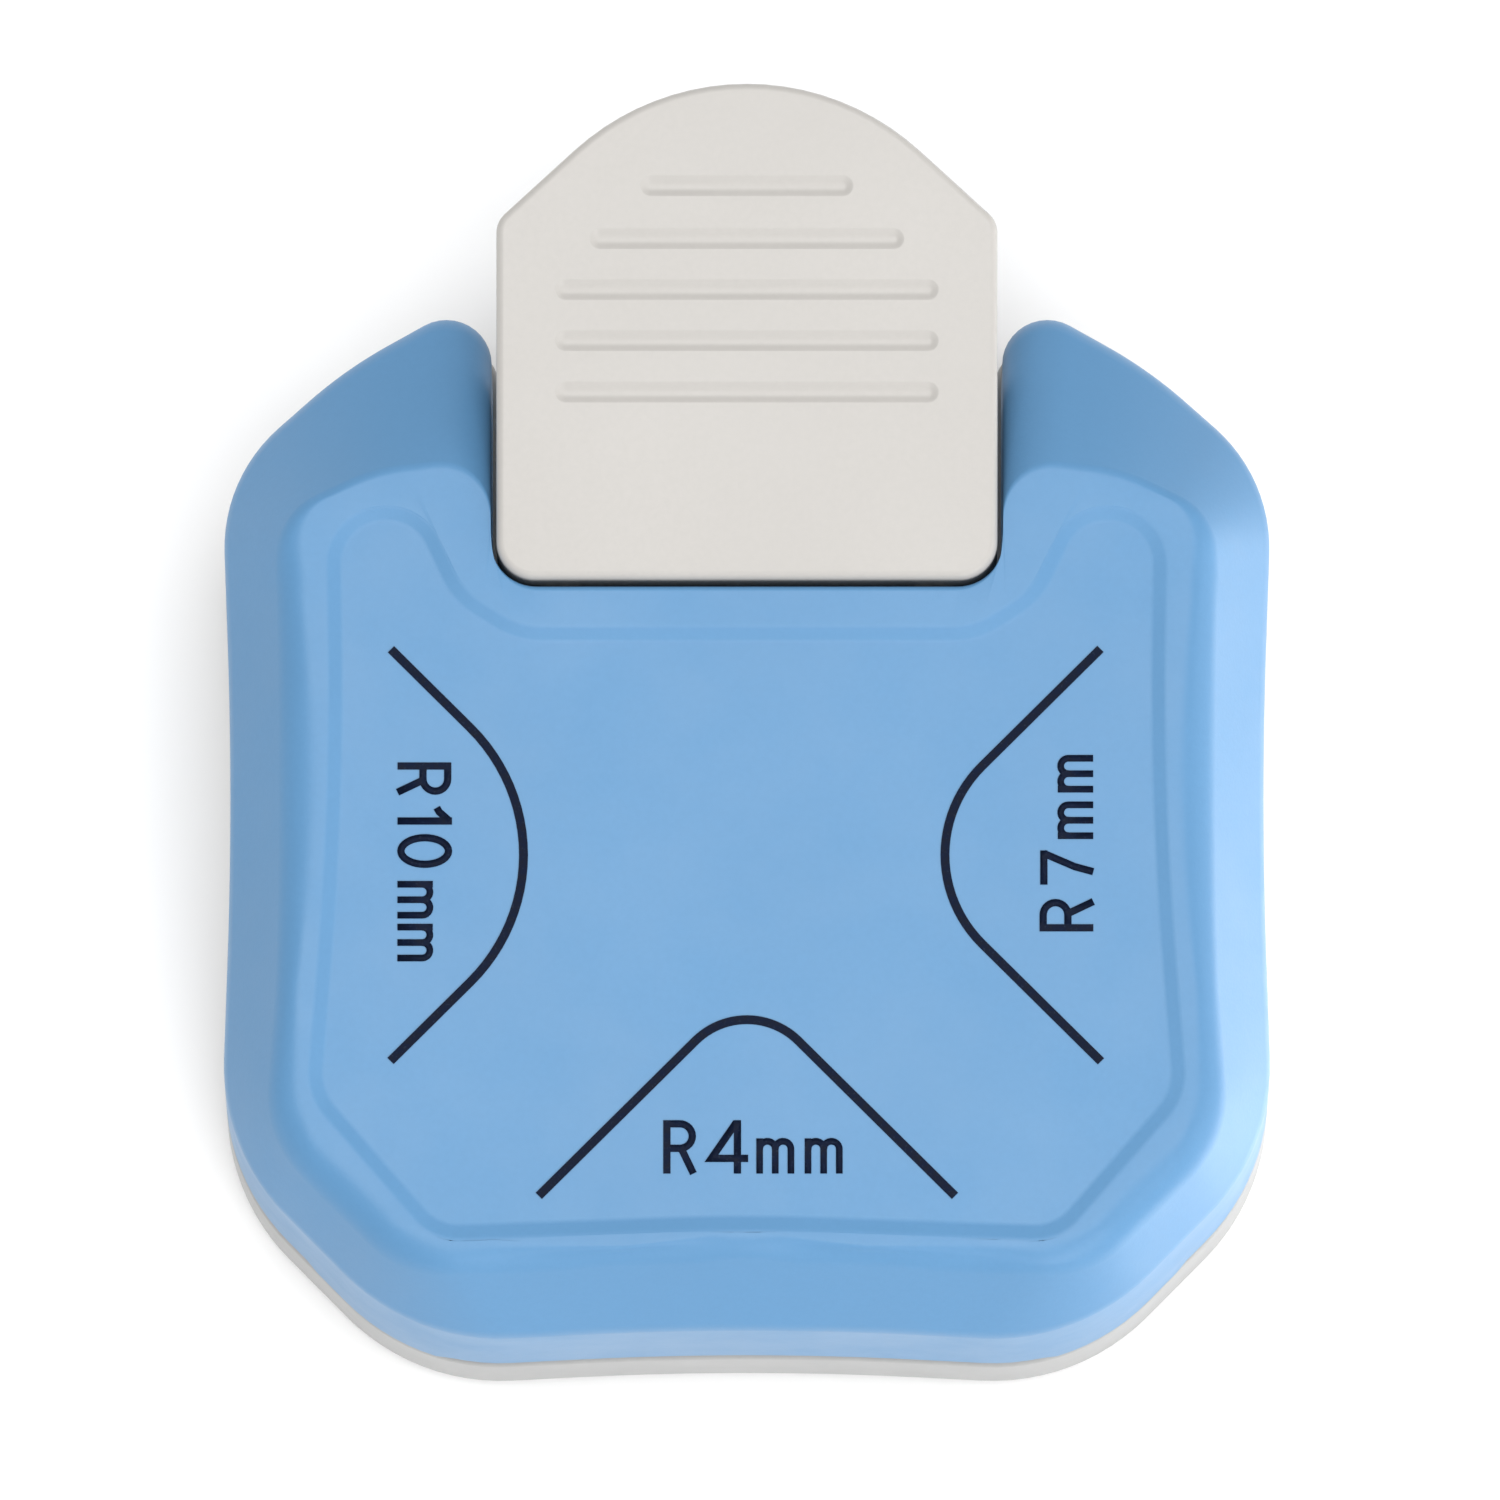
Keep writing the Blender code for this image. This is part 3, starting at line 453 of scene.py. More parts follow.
def make_metal(name, colour, roughness, stretch=(1.0, 1.0, 1.0), size=0.0004):
    """Machined or drawn metal: stains, a varying polish and scratches of a size in metres."""
    graph = Graph(name)
    stain = graph.noise(METAL_STAIN, detail=4.0, roughness=0.6)
    lines = graph.noise(size, detail=3.0, stretch=stretch, roughness=0.65)
    tone = graph.mix(graph.span(stain, 0.0, 1.0), shade(colour, 0.82), shade(colour, 1.1))
    graph.link(graph.mix(graph.span(lines, 0.0, 0.5), tone, shade(colour, 0.7)),
               graph.shader.inputs["Base Color"])
    graph.link(graph.span(lines, roughness - 0.08, roughness + 0.12), graph.shader.inputs["Roughness"])
    graph.link(graph.bump(lines, METAL_SCRATCH_DEPTH, strength=0.7), graph.shader.inputs["Normal"])
    graph.shader.inputs["Metallic"].default_value = 1.0
    return graph.material


def make_rubber(name, colour):
    """Matte moulded rubber with a dusty, pebbled skin."""
    graph = Graph(name)
    dust = graph.noise(RUBBER_DUST, detail=4.0, roughness=0.7)
    graph.link(graph.mix(graph.span(dust, 0.0, 1.0), shade(colour, 0.8), shade(colour, 1.5)),
               graph.shader.inputs["Base Color"])
    graph.link(graph.span(dust, 0.72, 0.9), graph.shader.inputs["Roughness"])
    pebbles = graph.bump(graph.noise(RUBBER_PEBBLE), RUBBER_PEBBLE_DEPTH)
    graph.link(pebbles, graph.shader.inputs["Normal"])
    return graph.material


# ---------------------------------------------------------------- top cover

STEP_REACH = 0.8      # plan width of the wall between the rim band and the sunken panel
PANEL_REACH = 0.9     # flat margin of the panel, beyond that wall
FLANK = 5.0           # upright part of the skirt below its top that the profile starts with
BAND_FALL = 0.03      # how far the rim band falls towards the panel
SKIRT_FILLET = 1.8
CREST_FILLET = 2.6
EAR_FILLET_LOSS = 1.6
CRISP_FILLET = 0.3    # crest radius where the cover has no slope, along the notch
STEP_FILLET = 1.1
PROFILE_STEPS = 8
EAR_START = 12.0      # Y from which the crest grows crisper, over EAR_RUN
EAR_RUN = 5.0
FULL_SLOPE = 2.5      # plan width of the slope that allows the full crest radius
SHORTEST_RUN = 1e-4
LOWER_EDGE = ((0.3, 0.0), (0.09, 0.09), (0.0, 0.3))      # rounding of the lower edge: inset, rise

# Paper slots: Y of the side slots' ends, half the front slot's length, and where each face begins.
SIDE_SLOT = (-23.6, 16.8)
FRONT_SLOT_HALF = 16.5
SIDE_FACE = 22.0
FRONT_FACE = -24.0
SLOT_RAMP = 0.5
ARM_WINDOW_GAP = 0.4


def slot_share(x, y):
    """How far the cover's lower edge is raised over a paper slot, 0 to 1."""
    if abs(x) > SIDE_FACE:
        inside = min(y - SIDE_SLOT[0], SIDE_SLOT[1] - y)
    elif y < FRONT_FACE:
        inside = FRONT_SLOT_HALF - abs(x)
    else:
        inside = -SLOT_RAMP
    share = min(max(inside / SLOT_RAMP + 0.5, 0.0), 1.0)
    return share * share * (3.0 - 2.0 * share)


def cover_edge(points, lift):
    """Ring of the cover's lower edge, which arches over the paper slots."""
    return [(point[0], point[1], COVER_BOTTOM + lift + (SLOT_TOP - COVER_BOTTOM) * slot_share(*point))
            for point in points]


def cover_path(corners):
    """Filleted run from the skirt over the crest and the step, above five outline points.

    Gives the path as points of (run, z), and the run at each outline point. The crest is rounded as
    far as the band allows, but stays crisp on the ears and along the notch.
    """
    reach = [0.0]
    for before, after in zip(corners, corners[1:]):
        reach.append(reach[-1] + max((after - before).length, SHORTEST_RUN))
    slope = math.atan2(CREST_Z - SKIRT_TOP, reach[1])
    widest = 0.9 * (reach[2] - reach[1]) / math.tan(slope / 2)
    rearward = min(max((corners[1].y - EAR_START) / EAR_RUN, 0.0), 1.0)
    outer_radius = min(widest, CREST_FILLET - EAR_FILLET_LOSS * rearward)
    crest_radius = CRISP_FILLET + (outer_radius - CRISP_FILLET) * min(reach[1] / FULL_SLOPE, 1.0)
    profile = (
        (0.0, SKIRT_TOP - FLANK, 0.0), (0.0, SKIRT_TOP, SKIRT_FILLET), (reach[1], CREST_Z, crest_radius),
        (reach[2], CREST_Z - BAND_FALL, STEP_FILLET), (reach[3], PANEL_Z, STEP_FILLET),
        (reach[4], PANEL_Z, 0.0),
    )
    return softened(profile, PROFILE_STEPS), reach


def cover_rings():
    """Outer rings of the cover from the skirt up, across the crest and down to the panel."""
    loops = [case_loop(SKIRT), case_loop(CREST), case_loop(PANEL, -STEP_REACH), case_loop(PANEL),
             case_loop(PANEL, PANEL_REACH)]
    columns = []
    for corners in zip(*loops):
        path, reach = cover_path(corners)
        column = []
        for run, z in path:
            leg = max(index for index in range(4) if run >= reach[index] - 1e-6)
            share = min((run - reach[leg]) / (reach[leg + 1] - reach[leg]), 1.0)
            point = corners[leg].lerp(corners[leg + 1], share)
            column.append((point.x, point.y, z))
        columns.append(column)
    return list(zip(*columns))


def build_cover(material):
    """Blue top cover with its rim, sunken panel, lever notch, paper slots and windows for the arms."""
    inner_skirt = case_loop(SKIRT, WALL)
    rings = [
        at_height(case_loop(CREST, WALL + 0.6), CEILING),
        at_height(inner_skirt, SKIRT_TOP - 0.6),
        cover_edge(inner_skirt, 0.0),
    ]
    rings += [cover_edge(case_loop(SKIRT, inset_by), rise) for inset_by, rise in LOWER_EDGE]
    shell = bmesh.new()
    add_rings(shell, rings + cover_rings())
    bmesh.ops.remove_doubles(shell, verts=shell.verts, dist=1e-6)
    cover = make_object("cover_shell", shell)

    windows = bmesh.new()
    for side in SIDES.values():
        window = rectangle(ARM_INNER - ARM_WINDOW_GAP, ARM_OUTER + ARM_WINDOW_GAP,
                           NOTCH_FRONT - WALL - 0.8, NOTCH_FRONT + 0.5)
        add_prism(windows, [(side * x, y) for x, y in window], COVER_BOTTOM - 1.0, CEILING - 0.1)
    carve(cover, [("DIFFERENCE", windows)])
    smooth(cover)
    finish_piece(cover, "case", "blue_shell", material, "top_cover")


# ---------------------------------------------------------------- printed size marks

INK_LIFT = 0.012
INK_HEIGHT = 0.03
MARK_WIDTH = 0.49
MARK_SHIFT = 0.4         # how far the print sits behind the die centres
LETTER_WIDTH = 0.4
CROWDED_LETTER = 0.92    # share of the stroke width that the three-legged m keeps
SHARPEST_MITRE = 0.35    # least cosine of a stroke's half turn, so that sharp corners stay short


def ribbon(path, width, closed=False):
    """Left and right edges of a stroke of constant width along a path, with mitred corners."""
    count = len(path)
    left, right = [], []
    for index, point in enumerate(path):
        before = path[index - 1] if index or closed else None
        after = path[(index + 1) % count] if index < count - 1 or closed else None
        into = (point - before).normalized() if before is not None else (after - point).normalized()
        out = (after - point).normalized() if after is not None else into
        normal = Vector((-into.y - out.y, into.x + out.x)).normalized()
        reach = width / 2 / max(normal.dot(Vector((-into.y, into.x))), SHARPEST_MITRE)
        left.append(point + normal * reach)
        right.append(point - normal * reach)
    return left, right


def add_stroke(shape, path, width, z, closed=False):
    """Flat raised stroke of ink."""
    left, right = ribbon([Vector(point) for point in path], width, closed)
    rows = []
    for side, height in ((left, z), (left, z + INK_HEIGHT), (right, z + INK_HEIGHT), (right, z)):
        rows.append([shape.verts.new(Vector((p.x, p.y, height)) * MM + OFFSET) for p in side])
    count = len(path)
    for index in range(count if closed else count - 1):
        follow = (index + 1) % count
        for row in range(4):
            upper = rows[(row + 1) % 4]
            shape.faces.new((rows[row][index], rows[row][follow], upper[follow], upper[index]))
    if not closed:
        shape.faces.new([row[0] for row in rows])
        shape.faces.new([row[-1] for row in rows])


def arc(centre, radius, start, end, steps=10):
    """Points of a circular or elliptic arc, angles in degrees."""
    rx, ry = radius if isinstance(radius, tuple) else (radius, radius)
    points = []
    for step in range(steps + 1):
        angle = math.radians(start + (end - start) * step / steps)
        points.append((centre[0] + rx * math.cos(angle), centre[1] + ry * math.sin(angle)))
    return points


def letter_strokes(letter):
    """Strokes of one letter or figure, baseline at y = 0: (path, closed). The last case is the m."""
    if letter == "R":
        bowl = [(0.2, 2.76), (0.92, 2.76)] + arc((0.92, 2.08), 0.68, 80, -80, 12)
        bowl += [(0.92, 1.4), (0.2, 1.4)]
        return [([(0.2, 0.0), (0.2, 2.96)], False), (bowl, False), ([(0.98, 1.42), (1.66, 0.0)], False)]
    if letter == "1":
        return [([(0.84, 0.0), (0.84, 3.0)], False), ([(0.1, 2.16), (0.34, 2.3), (0.84, 2.86)], False)]
    if letter == "0":
        return [(arc((0.95, 1.5), (0.74, 1.31), 0, 350, 35), True)]
    if letter == "7":
        return [([(0.0, 2.72), (1.9, 2.72)], False),
                ([(1.74, 2.72), (1.38, 1.9), (1.0, 1.02), (0.72, 0.0)], False)]
    if letter == "4":
        return [([(1.56, 0.0), (1.56, 2.96)], False), ([(1.5, 2.84), (0.13, 0.84), (2.15, 0.84)], False)]
    first = [(0.18, 1.32)] + arc((0.61, 1.37), (0.43, 0.42), 160, 0, 10) + [(1.04, 0.0)]
    second = [(1.04, 1.32)] + arc((1.47, 1.37), (0.43, 0.42), 160, 0, 10) + [(1.9, 0.0)]
    return [([(0.18, 0.0), (0.18, 1.95)], False), (first, False), (second, False)]


def make_label(item_name, letters, origin, along, z):
    """Object with a line of letters: (letter, start) pairs set along a direction from an origin."""
    up = Vector((-along[1], along[0]))
    along = Vector(along)
    base = None
    joins = []
    for letter, start in letters:
        width = LETTER_WIDTH * (CROWDED_LETTER if letter == "m" else 1.0)
        for path, closed in letter_strokes(letter):
            placed = [Vector(origin) + along * (start + x) + up * y for x, y in path]
            stroke = bmesh.new()
            add_stroke(stroke, placed, width, z, closed)
            if base is None:
                base = make_object(item_name, stroke)
            else:
                joins.append(("UNION", stroke))
    carve(base, joins)
    return base


# Each mark: label, station direction, die centre to theoretical corner, arc radius, arm reach past
# the corner, label origin, label direction, and where each letter starts.
MARKS = {
    "r10": ("R10mm", (-1.0, 0.0), 8.15, 10.0, 11.45, (-19.23, 2.25), (0.0, -1.0),
            (0.0, 2.42, 3.98, 6.6, 8.98)),
    "r7": ("R7mm", (1.0, 0.0), 8.0, 7.0, 11.47, (19.06, -7.15), (0.0, 1.0),
           (0.0, 2.6, 5.14, 7.73)),
    "r4": ("R4mm", (0.0, -1.0), 7.5, 4.0, 11.44, (-4.6, -20.6), (1.0, 0.0),
           (0.0, 2.52, 5.12, 7.78)),
}


def build_marks(material):
    """Printed size marks: the full-size outline of each rounded corner, and its radius."""
    z = PANEL_Z + INK_LIFT
    for name, (text, out, corner, radius, reach, origin, along, starts) in MARKS.items():
        centre = corner + radius * math.sqrt(2.0)
        path = [(corner + reach, reach)]
        path += arc((centre, 0.0), radius, 135, 225, 24)
        path.append((corner + reach, -reach))
        across = (-out[1], out[0])
        middle = DIE_CENTRE_Y + MARK_SHIFT
        placed = [(out[0] * x + across[0] * y, middle + out[1] * x + across[1] * y) for x, y in path]
        line = bmesh.new()
        add_stroke(line, placed, MARK_WIDTH, z)
        corner_mark = make_object(f"corner_mark_{name}", line)
        finish_piece(corner_mark, "case", None, material)
        label = make_label(f"size_label_{name}", zip(text, starts), origin, along, z)
        finish_piece(label, "case", None, material)


# ---------------------------------------------------------------- lever

def pad_corners():
    """Corners of the lever pad in plan."""
    peak_y = PAD_TIP + PAD_HEAD_RADIUS * (1.0 / math.cos(PAD_HEAD_ANGLE) - 1.0)
    shoulder_y = peak_y - PAD_HALF * math.tan(PAD_HEAD_ANGLE)
    return [(PAD_HALF, PAD_FRONT, PAD_FRONT_CORNER), (PAD_HALF, shoulder_y, PAD_SHOULDER_CORNER),
            (0.0, peak_y, PAD_HEAD_RADIUS),
            (-PAD_HALF, shoulder_y, PAD_SHOULDER_CORNER), (-PAD_HALF, PAD_FRONT, PAD_FRONT_CORNER)]


def pad_height(y):
    """Height of the pad's top face."""
    return PAD_FRONT_Z + (y - PAD_FRONT) * PAD_SLOPE


def pad_ring(distance, drop):
    """Pad outline laid parallel to its top face, a drop below it."""
    points = rounded(inset(pad_corners(), distance), arc_steps=20, edge_steps=4)
    return [(point.x, point.y, pad_height(point.y) - drop) for point in points]


def arm_height(y):
    """Height of the lever arms' centre line."""
    return PIVOT_Z + (y - PIVOT_Y) * ARM_RISE / (PAD_FRONT - PIVOT_Y)


def groove_ring(y, half, distance, drop):
    """Ring of a round-ended groove, parallel to the pad's top face."""
    points = []
    for end in (1.0, -1.0):
        for step in range(13):
            angle = math.radians(-90.0 + 15.0 * step) + (0.0 if end > 0 else math.pi)
            reach = GROOVE_HALF_WIDTH - distance
            points.append((end * (half - GROOVE_HALF_WIDTH) + reach * math.cos(angle),
                           y + reach * math.sin(angle)))
    return [(x, py, pad_height(py) - drop) for x, py in points]


def arm_outline():
    """Corners of a lever arm seen from the side: pivot eye, bend, and rib under the pad."""
    eye_front, eye_back = PIVOT_Y - ARM_EYE, PIVOT_Y + ARM_EYE
    inside = PAD_FRONT + WALL / 2
    return [
        (eye_front, PIVOT_Z - ARM_EYE, EYE_FRONT_CORNER), (eye_back, PIVOT_Z - ARM_EYE, EYE_BACK_CORNER),
        (ARM_BEND, arm_height(ARM_BEND) - ARM_HALF_HEIGHT, 1.0),
        (inside, arm_height(inside) - ARM_HALF_HEIGHT, 1.0),
        (RIB_END, pad_height(RIB_END) - PAD_DEPTH + 1.2, 0.5),
        (RIB_END, pad_height(RIB_END) - PAD_SKIN + 0.6, 0.2),
        (inside, pad_height(inside) - PAD_SKIN + 0.6, 0.2),
        (inside, arm_height(inside) + ARM_HALF_HEIGHT, 0.3),
        (ARM_BEND, arm_height(ARM_BEND) + ARM_HALF_HEIGHT, 1.0),
        (eye_back, PIVOT_Z + ARM_EYE, EYE_BACK_CORNER), (eye_front, PIVOT_Z + ARM_EYE, EYE_FRONT_CORNER),
    ]


def build_lever(material):
    """Warm white lever: hollow pad with rounded edges and grip grooves, and two arms."""
    rings = [pad_ring(WALL, PAD_SKIN), pad_ring(WALL, PAD_DEPTH - 0.2), pad_ring(WALL - 0.2, PAD_DEPTH),
             pad_ring(0.25, PAD_DEPTH), pad_ring(0.0, PAD_DEPTH - 0.25)]
    for step in range(PAD_EDGE_STEPS + 1):
        angle = math.radians(90.0 * step / PAD_EDGE_STEPS)
        rings.append(pad_ring(PAD_EDGE * (1.0 - math.cos(angle)), PAD_EDGE * (1.0 - math.sin(angle))))
    pad = bmesh.new()
    add_rings(pad, rings)
    lever = make_object("lever_body", pad)

    arms = bmesh.new()
    for side in SIDES.values():
        add_slab(arms, arm_outline(), side * ARM_INNER, side * ARM_OUTER, bevel=ARM_BEVEL)

    cuts = bmesh.new()
    reach = ARM_OUTER + 1.0
    add_rod(cuts, [(PIN_HOLE, -reach), (PIN_HOLE, reach)], PIVOT_Y, PIVOT_Z)
    slot_y, slot_z = PIN_HOLE + PIN_SLOT_TRAVEL, PIN_HOLE
    z = arm_height(DIE_CENTRE_Y)
    slot = [(DIE_CENTRE_Y + sy * slot_y, z + sz * slot_z, PIN_HOLE - 0.01)
            for sy, sz in ((-1, -1), (1, -1), (1, 1), (-1, 1))]
    add_slab(cuts, slot, -reach, reach)

    grooves = bmesh.new()
    for from_tip, half in GROOVES:
        add_rings(grooves, [groove_ring(PAD_TIP - from_tip, half, *point) for point in GROOVE_SECTION])
    carve(lever, [("UNION", arms), ("DIFFERENCE", cuts), ("DIFFERENCE", grooves)])
    smooth(lever, angle=38.0)
    finish_piece(lever, "lever", "lever_plastic", material, "lever")


# ---------------------------------------------------------------- base, lid and feet

# Plan outlines of the chip chamber and of the die plate, as corners of x, y and radius.
CHAMBER = ((26.0, -11.5, 0.8), (26.0, 11.0, 0.8), (15.0, 22.5, 0.8), (-15.0, 22.5, 0.8),
           (-26.0, 11.0, 0.8), (-26.0, -11.5, 0.8), (-11.5, -26.0, 0.8), (11.5, -26.0, 0.8))
PLATE = ((15.3, -20.4, 0.4), (21.5, -14.2, 0.4), (21.5, 9.2, 0.4), (-21.5, 9.2, 0.4),
         (-21.5, -14.2, 0.4), (-15.3, -20.4, 0.4))
POCKET_GAP = 0.3
CASE_SCREWS = ((19.8, -22.3), (21.8, 20.8))
DIE_SCREWS = ((10.8, -15.0), (14.8, 6.9))
CHIP_OPENING = ((17.0, -11.9), (17.0, 4.9), (-17.0, 4.9), (-17.0, -11.9), (-5.0, -11.9), (-5.0, -17.0),
                (5.0, -17.0), (5.0, -11.9))

# Rounded rims of the base: inset and distance from its underside or from its top.
BASE_LOW_RIM = ((0.9, 0.0), (0.6, 0.06), (0.3, 0.25), (0.09, 0.55), (0.0, 0.95))
BASE_HIGH_RIM = ((0.0, 0.4), (0.05, 0.2), (0.15, 0.07), (0.35, 0.0))

# Turned profiles of radius and height.
DIE_BOSS = ((2.0, 2.5), (2.2, 2.7), (2.2, DECK_BOTTOM + 0.4))
DIE_SCREW_HOLE = ((1.2, 3.2), (1.2, POCKET_FLOOR + 0.5))
CASE_SCREW_SEAT = ((2.7, 0.0), (2.7, 1.8), (2.3, 1.8), (2.3, 4.2), (1.4, 4.2), (1.4, BASE_TOP + 0.5))
FOOT_PROFILE = ((1.2, 0.12), (1.5, 0.03), (1.75, 0.0), (2.0, 0.0), (2.2, 0.06), (2.33, 0.2), (2.4, 0.42),
                (2.4, 1.4), (2.3, 1.5))

# Bottom lid: hinge line as (y, z), underside and top, and the notched rear corners.
LID_AXIS = (20.4, 1.5)
LID_Z = (0.9, 2.1)
LID_BACK = 21.4
LID_TAIL_HALF = 16.1
LID_TAIL_FRONT = 19.3
LID_GAP = 0.4
HINGE_HALF = 18.3
HINGE_SHOULDER = 15.4
HINGE_RADIUS = 0.75
HINGE_PIN_RADIUS = 0.55
HINGE_SOCKET_RADIUS = 0.85
TONGUE_HALF = 4.0
TONGUE_TOP = 4.4
SCOOP_PROFILE = ((0.4, -5.4), (0.9, -5.2), (1.2, -4.7), (1.2, 4.7), (0.9, 5.2), (0.4, 5.4))


def build_base(material):
    """White base with rounded edges, the die pocket, the chip space and its screw seats."""
    rings = [at_height(case_loop(BASE, inset_by), BASE_BOTTOM + rise) for inset_by, rise in BASE_LOW_RIM]
    rings += [at_height(case_loop(BASE, inset_by), BASE_TOP - drop) for inset_by, drop in BASE_HIGH_RIM]
    body = bmesh.new()
    add_rings(body, rings)
    base = make_object("base_body", body)

    chamber = bmesh.new()
    add_prism(chamber, rounded(CHAMBER, arc_steps=5, edge_steps=1), 0.0, DECK_BOTTOM)
    pocket = bmesh.new()
    plate = inset(PLATE, -POCKET_GAP)
    add_prism(pocket, rounded(plate, arc_steps=4, edge_steps=1), POCKET_FLOOR, BASE_TOP + 1.0)
    bosses = bmesh.new()
    holes = bmesh.new()
    add_prism(holes, CHIP_OPENING, DECK_BOTTOM - 1.0, POCKET_FLOOR + 0.3)
    for side in SIDES.values():
        for x, y in DIE_SCREWS:
            add_turned(bosses, DIE_BOSS, side * x, y)
            add_turned(holes, DIE_SCREW_HOLE, side * x, y, steps=24)
        for x, y in CASE_SCREWS:
            add_turned(holes, CASE_SCREW_SEAT, side * x, y)
        socket = [(HINGE_SOCKET_RADIUS, side * 14.0), (HINGE_SOCKET_RADIUS, side * (HINGE_HALF + 0.3))]
        add_rod(holes, socket, *LID_AXIS, steps=24)
    carve(base, [("DIFFERENCE", chamber), ("DIFFERENCE", pocket), ("UNION", bosses),
                 ("DIFFERENCE", holes)])
    smooth(base, angle=35.0)
    finish_piece(base, "case", "white_shell", material, "base_shell")


def build_lid(material):
    """Hinged bottom lid with rounded rims, hinge rod, latch tongue and thumb scoop."""
    low, high = LID_Z
    rims = ((LID_GAP + 0.15, low), (LID_GAP + 0.05, low + 0.04), (LID_GAP, low + 0.15),
            (LID_GAP, high - 0.1), (LID_GAP + 0.1, high))
    rings = []
    for rim, z in rims:
        points = rounded(inset(CHAMBER, rim), arc_steps=5, edge_steps=2)
        rings.append([(point.x, min(point.y, LID_BACK), z) for point in points])
    plate = bmesh.new()
    add_rings(plate, rings)
    lid = make_object("lid_panel", plate)
    front = CHAMBER[6][1] + LID_GAP

    reliefs = bmesh.new()
    for side in SIDES.values():
        corner = rectangle(LID_TAIL_HALF, HINGE_HALF, LID_TAIL_FRONT, LID_BACK + 1.0)
        add_prism(reliefs, [(side * x, y) for x, y in corner], low - 0.5, high + 0.5)

    half_rod = [(HINGE_RADIUS, HINGE_SHOULDER), (HINGE_PIN_RADIUS, HINGE_SHOULDER),
                (HINGE_PIN_RADIUS, HINGE_HALF - 0.15), (HINGE_PIN_RADIUS - 0.1, HINGE_HALF)]
    hinge = bmesh.new()
    rod = [(radius, -x) for radius, x in reversed(half_rod)] + half_rod
    add_rod(hinge, rod, *LID_AXIS, steps=24)
    tongue = bmesh.new()
    tongue_side = [(front + 0.2, low + 0.3, 0.05), (front + 1.2, low + 0.3, 0.05),
                   (front + 1.2, TONGUE_TOP, 0.4), (front + 0.2, TONGUE_TOP, 0.4)]
    add_slab(tongue, tongue_side, -TONGUE_HALF, TONGUE_HALF, bevel=0.15)
    scoop = bmesh.new()
    add_rod(scoop, SCOOP_PROFILE, front + 3.2, low - 0.5)
    carve(lid, [("DIFFERENCE", reliefs), ("UNION", hinge), ("UNION", tongue), ("DIFFERENCE", scoop)])
    smooth(lid, angle=35.0)
    finish_piece(lid, "lid", "white_shell", material, "bottom_lid")


def build_feet(material):
    """Rubber feet with a soft rim and a shallow dished sole."""
    for side_name, side in SIDES.items():
        for end_name, (x, y) in zip(("front", "rear"), CASE_SCREWS):
            foot = bmesh.new()
            add_turned(foot, FOOT_PROFILE, side * x, y)
            item = make_object(f"foot_{end_name}_{side_name}", foot)
            smooth(item, angle=50.0)
            finish_piece(item, "case", "foot_rubber", material, f"rubber_foot_{end_name}_{side_name}")


# ---------------------------------------------------------------- springs and inner metal

POSTS = {"front_left": (-16.4, -14.6), "front_right": (16.4, -14.6), "rear": (0.0, 3.9)}
SPRING_LOW = 10.4
SPRING_HIGH = 16.35
SPRING_TURNS = 4.5
SPRING_RADIUS = 2.2
SPRING_STEPS = 220
WIRE_RADIUS = 0.25
WIRE_SIDES = 12


def build_springs(material):
    """Drawn-wire return springs, which shorten as the ram goes down; here they are fixed coils on the
    case.
    """
    for name, (x, y) in POSTS.items():
        path = []
        for step in range(SPRING_STEPS + 1):
            share = step / SPRING_STEPS
            angle = math.tau * SPRING_TURNS * share
            path.append(Vector((x + SPRING_RADIUS * math.cos(angle), y + SPRING_RADIUS * math.sin(angle),
                                SPRING_LOW + (SPRING_HIGH - SPRING_LOW) * share)))
        coil = bmesh.new()
        add_tube(coil, path, WIRE_RADIUS, WIRE_SIDES)
        item = make_object(f"spring_coil_{name}", coil)
        item.data.shade_smooth()
        finish_piece(item, "case", "spring_steel", material, f"return_spring_{name}")
        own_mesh(item)


def dress_metal():
    """Give the CAD nodes that stay their finished metal, and return the metal of the springs."""
    plate = make_metal("stamped_steel", (178, 180, 182), 0.34, stretch=(0.12, 1.0, 1.0))
    tool = make_metal("ground_tool_steel", (142, 145, 150), 0.24, stretch=(1.0, 0.1, 1.0), size=0.0003)
    cast = make_metal("cast_zinc", (160, 162, 165), 0.5, size=0.0007)
    pin = make_metal("pin_stock", (196, 197, 198), 0.16, stretch=(1.0, 1.0, 0.1), size=0.0003)
    plated = make_metal("plated_screws", (168, 166, 160), 0.32, size=0.0003)
    spring = make_metal("spring_wire", (150, 150, 152), 0.26, stretch=(0.2, 1.0, 1.0), size=0.0003)
    finishes = (("die_screw", plated), ("case_screw", plated), ("punch_screw", plated),
                ("punch_carrier", cast), ("punch_r", tool), ("guide_post", pin), ("lever_pivot", pin),
                ("drive_pin", pin), ("pivot_clip", spring), ("die_plate", plate), ("paper_guide", plate),
                ("guide_plate", plate))
    for name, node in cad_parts.items():
        for start, material in finishes:
            if name.startswith(start):
                node.data.materials.clear()
                node.data.materials.append(material)
                break
    return spring


# ---------------------------------------------------------------- stage, in metres

FLOOR_HALF = 3.0
FLOOR_CLOUD = 0.4
CAMERA_ELEVATION = math.radians(81.5)
CAMERA_DISTANCE = 2.5
FRAME_WIDTH = 0.0829       # width of the picture at the case
AIM = (0.17, 4.4, 15.0)    # middle of the picture, in the case's frame in millimetres


